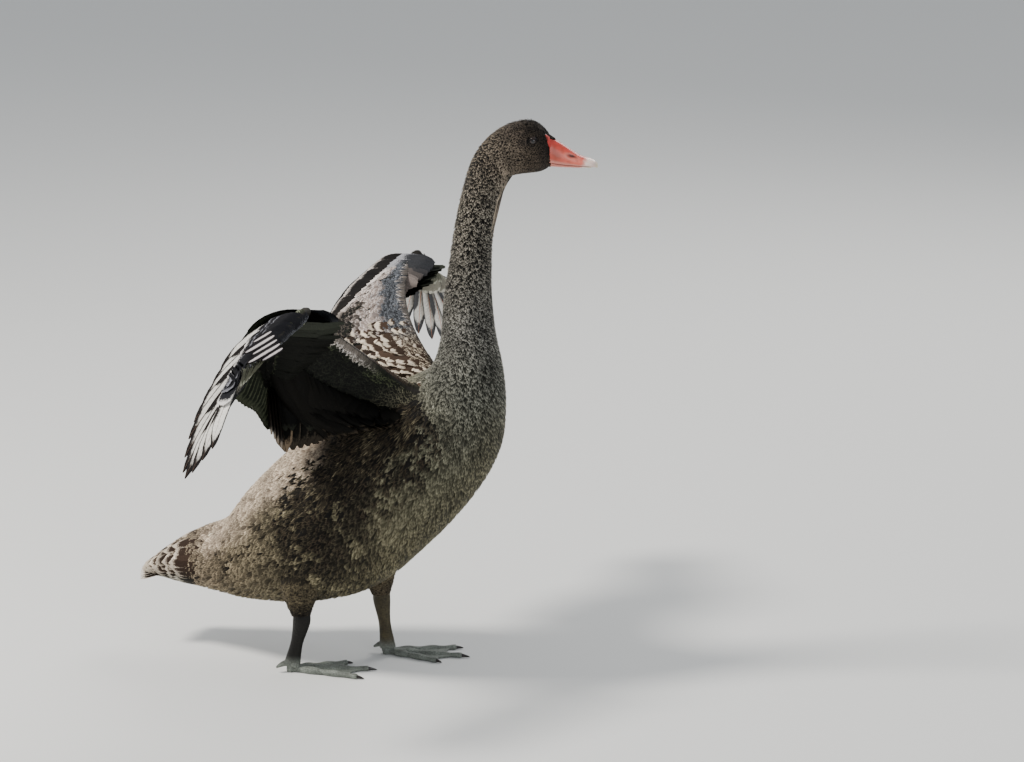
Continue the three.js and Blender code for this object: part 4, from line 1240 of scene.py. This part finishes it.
def bill_piece(name, sections, upper, node):
    rings, around = 90, 96
    cap = 3 * around + 1
    v, f = tube_mesh(lambda x, y, r: bill_point(sections, upper, x, y, r), rings, around)
    t, a = np.meshgrid(np.linspace(0, 1, rings), np.arange(around) * 360 / around, indexing="ij")
    t = np.concatenate([t.ravel(), np.zeros(cap), np.ones(cap)])
    a = np.concatenate([a.ravel(), np.full(2 * cap, 90.0)])
    high = np.abs(sind(a))
    outward = unit(v - v.mean(0))
    red, pink, rust = linear(198, 54, 44), linear(222, 150, 134), linear(150, 62, 36)
    c = toward(linear(214, 86, 66), red, smooth(high, 0.35, 0.95))
    c = toward(c, linear(226, 128, 108), 0.7 * bell(t, 0.5, 0.2) * bell(high, 0.45, 0.3))
    c = toward(c, rust, 0.8 * bell(t, 0.14, 0.1) * bell(high, 0.35, 0.22))
    c = toward(c, rust, 0.35 * smooth(waves(v, 7, 61), 0.2, 0.9))
    c = toward(c, pink, 0.9 * (1 - smooth(high, 0.02, 0.16)))
    edge_of_nail = t + 0.012 * waves(v, 6, 62)
    horn = toward(linear(236, 214, 202), linear(232, 220, 186), smooth(t, 0.86, 1.0))
    if upper:
        # The nostril is a hollow with a raised rim; the hollow is painted dark as painted shade and the rim a
        # little paler.
        d = (t - 0.43) / 0.085
        e = (high - 0.6 - 0.06 * d) / 0.12
        above = sind(a) > 0
        hole = np.exp(-(d ** 2 + e ** 2) * 1.4) * above
        rim = np.exp(-((np.sqrt(d ** 2 + e ** 2) - 1.35) ** 2) * 5) * above
        v[:, 1] -= np.sign(cosd(a)) * (2.3 * hole - 0.35 * rim)
        c = toward(c, linear(240, 160, 140), 0.3 * rim)
        c = toward(c, linear(40, 16, 14), np.clip(hole * 1.25, 0, 1))
        c = toward(c, horn, smooth(edge_of_nail - 0.05 * high, 0.56, 0.68))
        v = v + outward * (0.4 * smooth(t, 0.66, 0.75) * smooth(high, 0.2, 0.6))[:, None]
        # A point of bare skin runs from the bill's upper corner towards either eye.
        s, w = np.meshgrid(np.linspace(22.35, 23, 16), np.linspace(-1, 1, 13), indexing="ij")
        share = (s - 22.35) / 0.65
        on_face = lerp(52, 40, share) + w * 22 * share ** 0.8
        # Its last rows lie over the bill's own root.
        height = TRUNK[-1, 1] + TRUNK[-1, 3] * sind(on_face[-1])
        height = np.clip((height - sections[0, 2]) / (sections[0, 1] - sections[0, 2]), 0, 1)
        on_bill = np.arcsin(height ** (1 / DOME)) / D
        for turn, start in ((1, 0), (-1, 180)):
            patch = trunk_point(s, start + turn * on_face, 0.5 + 0.4 * (1 - w * w))
            beside = start + turn * on_bill
            over = [bill_point(sections, True, np.full(13, q), beside, 1.01) for q in (0.004, 0.03)]
            patch = np.concatenate([patch, over]).reshape(-1, 3)
            f = np.vstack([f, (grid_faces(18, 13) + len(v))[:, ::turn]])
            v = np.vstack([v, patch])
            c = np.vstack([c, np.broadcast_to(red, patch.shape)])
    else:
        c = lerp(c, pink, 0.6)
        c = toward(c, horn, smooth(edge_of_nail, 0.7, 0.77))
    obj = mesh_object(name, v, f)
    paint(obj, "Coat", c)
    stuff, tree, bsdf = material(name + " horn", 0.34, 0.5, coat=0.15)
    own = painted(tree, "Coat")
    tint = mix_colour(tree, noise(tree, 90, 3), own, (0.30, 0.05, 0.03, 1))
    connect(tree, bsdf, {
        "Base Color": mix_colour(tree, 0.25, own, tint), "Subsurface Weight": 0.08,
        "Subsurface Radius": (0.004, 0.001, 0.0006),
    })
    bump(tree, bsdf, noise(tree, 300, 4), 0.25, 0.0004)
    finish_piece(obj, stuff, "bill", node)


bill_piece("bill_above", UPPER_BILL, True, "bill_upper")
bill_piece("bill_below", LOWER_BILL, False, "bill_lower")

# The face's smallest feathers reach over the bill's root, farthest along its ridge.
FACE_REACH = ([0, 16, 27, 34, 50, 66, 90], [0.17, 0.12, 0.03, -0.01, 0.0, 0.045, 0.065])
coat = Coat("coat_face", BODY_FEATHER, later=False)
for upper, sections, n, start in ((True, UPPER_BILL, 1500, 0), (False, LOWER_BILL, 700, 180)):
    a = rng.uniform(start, start + 180, n)
    most = np.interp(np.abs(a - 90), *FACE_REACH) if upper else np.full(n, 0.085)
    t = most - rng.uniform(0, 1, n) * (most + 0.03)
    a, t = a[most > 0.004], t[most > 0.004]
    n = len(a)

    def at(x, y, h):
        on = np.clip(x, 0, 1)
        p, centre = (bill_point(sections, upper, on, y, radius) for radius in (1.0, 0.0))
        behind = bill_point(sections, upper, 0 * on, y) - bill_point(sections, upper, 0 * on + 0.06, y)
        shifted = p + behind * (np.maximum(-x, 0) / 0.06)[..., None]
        return shifted + unit(p - centre) * np.asarray(h)[..., None]

    size = rng.uniform(3.2, 4.8, n)
    ridge = smooth(sind(a), 0.75, 1.0) if upper else 0 * a
    points = over_surface(
        at, t, a, size, size * 0.42, 0.35 + 1.2 * ridge, SMALL, rng.normal(0, 0.16, n), np.full(n, 0.5),
        (-0.01, 1.0),
    )
    p = at(t, a, 0 * t)
    base = linear(9, 7, 5) * np.exp(0.2 * waves(p, 8, 55))[:, None]
    fringe = linear(62, 54, 46) * np.exp(0.3 * waves(p, 6, 56))[:, None]
    coat.lay(points, base, fringe, SMALL, np.stack([0.02 + 0.96 * a / 360, 0.5 + 2 * t], -1))
coat.build()


def angles(n):
    return np.arange(n) * 2 * math.pi / n


# Eyes with an iris and pupil, and lids around them
polar, turn = np.meshgrid(np.linspace(0.001, math.pi - 0.001, 40), angles(48), indexing="ij")
ring, tube = np.meshgrid(angles(64), angles(10), indexing="ij")
for name, wing in WINGS.items():
    side = wing["side"]
    ball = np.stack([np.sin(polar) * np.cos(turn), side * np.cos(polar), np.sin(polar) * np.sin(turn)], -1)
    bulge = 1 + 0.035 * np.exp(-(polar / 0.55) ** 2)
    ball = np.array([EYE[0], side * EYE[1], EYE[2]]) + ball * (EYE_RADIUS * bulge * 0.985)[..., None]
    obj = mesh_object("eye_ball_" + name, turned(ball).reshape(-1, 3), grid_faces(40, 48, True)[:, ::side])
    c = toward(linear(10, 8, 7), linear(44, 26, 18), smooth(polar.ravel(), 0.34, 0.4))
    paint(obj, "Coat", toward(c, linear(22, 14, 10), smooth(polar.ravel(), 0.75, 0.86)))
    stuff, tree, bsdf = material("wet eye " + name, 0.08, 0.4, coat=0.35)
    connect(tree, bsdf, {"Base Color": painted(tree, "Coat")})
    finish_piece(obj, stuff, "eye", "eye_" + name)

    open_x = 4.6 + 0.8 * np.abs(np.cos(ring)) ** 3
    open_z = np.where(np.sin(ring) > 0, 2.9, 3.2)
    thick = 0.85 + 0.25 * (np.sin(ring) > 0)
    x = (open_x + thick * np.cos(tube)) * np.cos(ring)
    z = (open_z + thick * np.cos(tube)) * np.sin(ring)
    on_ball = np.sqrt(np.maximum((EYE_RADIUS + 0.15) ** 2 - x ** 2 - z ** 2, 4.0))
    y = EYE[1] + np.minimum(on_ball, 5.4) - 0.1 + thick * 0.75 * np.sin(tube)
    lids = turned(np.stack([EYE[0] + x, side * y, EYE[2] + z], -1)).reshape(-1, 3)
    obj = mesh_object("eye_lids_" + name, lids, grid_faces(64, 10, True, True))
    stuff, tree, bsdf = material("lid skin " + name, 0.65, 0.2, colour=linear(17, 14, 12))
    bump(tree, bsdf, noise(tree, 900, 2), 0.4, 0.0004)
    finish_piece(obj, stuff, "leg_skin")


# Feet and tarsi
def scutes(t, a):
    """Fine rings round the front of the tarsus."""
    return 1 + 0.012 * np.cos(t * 150) * (cosd(a) > -0.3)


TOE_RADIUS = 4.6
for name, leg in LEGS.items():
    side = leg["side"]
    foot, ankle = np.array([*leg["foot"], 0.0]), np.array(leg["ankle"], float)
    heading = -side * leg["toe_in"]

    def place(p):
        """Moves points of a foot that stands at the origin to their own place."""
        x, y = p[..., 0], p[..., 1] * side
        ahead = x * cosd(heading) - y * sind(heading)
        aside = x * sind(heading) + y * cosd(heading)
        return foot + np.stack([ahead, aside, p[..., 2]], -1)

    parts = []
    claws = []
    for angle, length in TOES:
        way = np.array([cosd(angle), sind(angle), 0])
        aside = np.array([-way[1], way[0], 0])

        def toe(t, a, radius):
            knuckle = 1 + 0.17 * np.cos(t * math.pi * 6) + 0.025 * np.cos(t * length * 1.9)
            r = TOE_RADIUS * (1.25 - 0.45 * t) * knuckle * radius
            high = TOE_RADIUS * 0.8 * (1.2 - 0.5 * t)
            centre = way * (-6 + (length * 0.9 + 6) * t)[..., None] + UPWARDS * high[..., None]
            return place(ellipse(centre, a, aside, r, UPWARDS, r))

        def claw(t, a, radius):
            r = 3.1 * np.sqrt(np.clip(1 - t, 0, 1)) * radius
            reach, high = length * (0.865 + 0.135 * t), 2.9 - 1.9 * t * t
            centre = way * reach[..., None] + UPWARDS * high[..., None]
            p = ellipse(centre, a, aside, r * 0.8, UPWARDS, r)
            p[..., 2] = np.maximum(p[..., 2], 0.1)
            return place(p)

        parts.append(tube_mesh(toe, 110, 20))
        claws.append(tube_mesh(claw, 20, 14))
    # Webs between the toes: an upper and a lower sheet with walls round their rim
    order = np.arange(40 * 60).reshape(40, 60)
    rim = np.concatenate([order[0], order[1:, -1], order[-1, -2::-1], order[-2:0:-1, 0]])
    after = np.roll(rim, -1)
    walls = np.stack([rim + order.size, after + order.size, after, rim], -1)
    sheet = grid_faces(*order.shape)
    for (a0, l0), (a1, l1) in zip(TOES[:-1], TOES[1:]):
        s, r = np.meshgrid(np.linspace(0, 1, 40), np.linspace(0.02, 1, 60), indexing="ij")
        reach = r * lerp(l0 * 0.86, l1 * 0.86, s) * (1 - 0.36 * s * (1 - s) * 1.6)
        sag = (1.6 + 0.35 * np.sin(s * 26)) * r * np.sin(math.pi * s)
        x, y = reach * cosd(lerp(a0, a1, s)), reach * sind(lerp(a0, a1, s))
        web = np.stack([np.stack([x, y, 3.0 - sag * 0.6 + high], -1) for high in (0.9, -1.5)])
        parts.append((place(web.reshape(-1, 3)), np.vstack([sheet, sheet[:, ::-1] + order.size, walls])))
    parts.append(tube_mesh(limb([(2, 4, 15), (-12, 5, 12), (-22, 6, 7)], (5, 4, 1.6), 1.0, place), 30, 16))
    shank_line = [foot + [0, 0, 9], (foot + ankle) / 2, ankle - [0, 0, 8], ankle + [0, 0, 4]]
    parts.append(tube_mesh(limb(shank_line, (12, 9, 13, 12), 0.72, bulge=scutes), 160, 40))
    obj = remeshed("leg_" + name, parts, LEG_VOXEL, 2, 0.4)
    co = points_of(obj)
    co[:, 2] = np.maximum(co[:, 2], 0.0)
    obj.data.vertices.foreach_set("co", np.ascontiguousarray(metres(co), np.float32).ravel())
    # Painted light and shade: the right shank is painted darker, as in shade, and the left one paler, as lit.
    shank = linear(10, 9, 7) if side < 0 else linear(72, 65, 47)
    c = toward(linear(122, 127, 119), shank, smooth(co[:, 2], 6, 26))
    paint(obj, "Coat", c * np.exp(0.16 * waves(co, 16, 71))[:, None])
    stuff, tree, bsdf = material("scaly skin " + name, 0.42, 0.18, coat=0.04)
    cells = {"Scale": 330, "Vector": add_node(tree, "TexCoord", "Object", {})}
    cells = add_node(tree, "TexVoronoi", "Distance", cells, feature="DISTANCE_TO_EDGE")
    edge = add_node(tree, "MapRange", "Result", {"Value": cells, "From Max": 0.12})
    own = painted(tree, "Coat")
    shade = mix_colour(tree, edge, (0.008, 0.007, 0.006, 1), own)
    connect(tree, bsdf, {"Base Color": mix_colour(tree, 0.6, own, shade)})
    bump(tree, bsdf, edge, 0.45, 0.0006)
    finish_piece(obj, stuff, "leg_skin", "foot_" + name, "tarsus_" + name)

    obj = mesh_object("claws_" + name, *join_meshes(claws))
    finish_piece(obj, material("claw horn " + name, 0.3, 0.5, colour=linear(30, 25, 22))[0], "leg_skin")

# Floor, light and camera
bpy.ops.mesh.primitive_plane_add(size=60, location=(0, 0, -0.0005))
floor = bpy.context.object
floor.name = "floor"
floor.data.materials.append(material("pale floor", 0.8, 0.2, colour=(0.78, 0.78, 0.76))[0])

world = bpy.data.worlds.new("studio")
bpy.context.scene.world = world
world.use_nodes = True
connect(world.node_tree, world.node_tree.nodes["Background"], {0: (0.86, 0.9, 0.95, 1), 1: 0.6})


def area_light(name, where, aim, size, power, colour):
    data = bpy.data.lights.new(name, "AREA")
    data.shape = "DISK"
    data.size = size
    data.energy = power
    data.color = colour
    lamp = bpy.data.objects.new(name, data)
    lamp.location = where
    lamp.rotation_euler = (Vector(aim) - Vector(where)).to_track_quat("-Z", "Y").to_euler()
    bpy.context.scene.collection.objects.link(lamp)


area_light("key", (-1.9, -1.5, 3.4), (0, 0, 0.4), 0.9, 190, (1, 0.96, 0.9))
area_light("fill", (3.2, -2.6, 1.8), (0, 0, 0.4), 2.4, 40, (0.9, 0.95, 1))
area_light("back", (0.5, 3.2, 2.8), (0, 0, 0.5), 2.0, 60, (1, 0.98, 0.95))

# The camera looks at the bird from 23 degrees round and 13 degrees up.
CAMERA_PLACE = (2.092, -4.308, 1.508)
AZIMUTH, ELEVATION = 23, 13
camera_data = bpy.data.cameras.new("camera")
camera_data.sensor_width = 36
camera_data.lens = 125.56
camera = bpy.data.objects.new("camera", camera_data)
camera.location = Vector(CAMERA_PLACE) + Vector(SHIFT)
camera.rotation_euler = ((90 - ELEVATION) * D, 0, AZIMUTH * D)
bpy.context.scene.collection.objects.link(camera)
bpy.context.scene.camera = camera
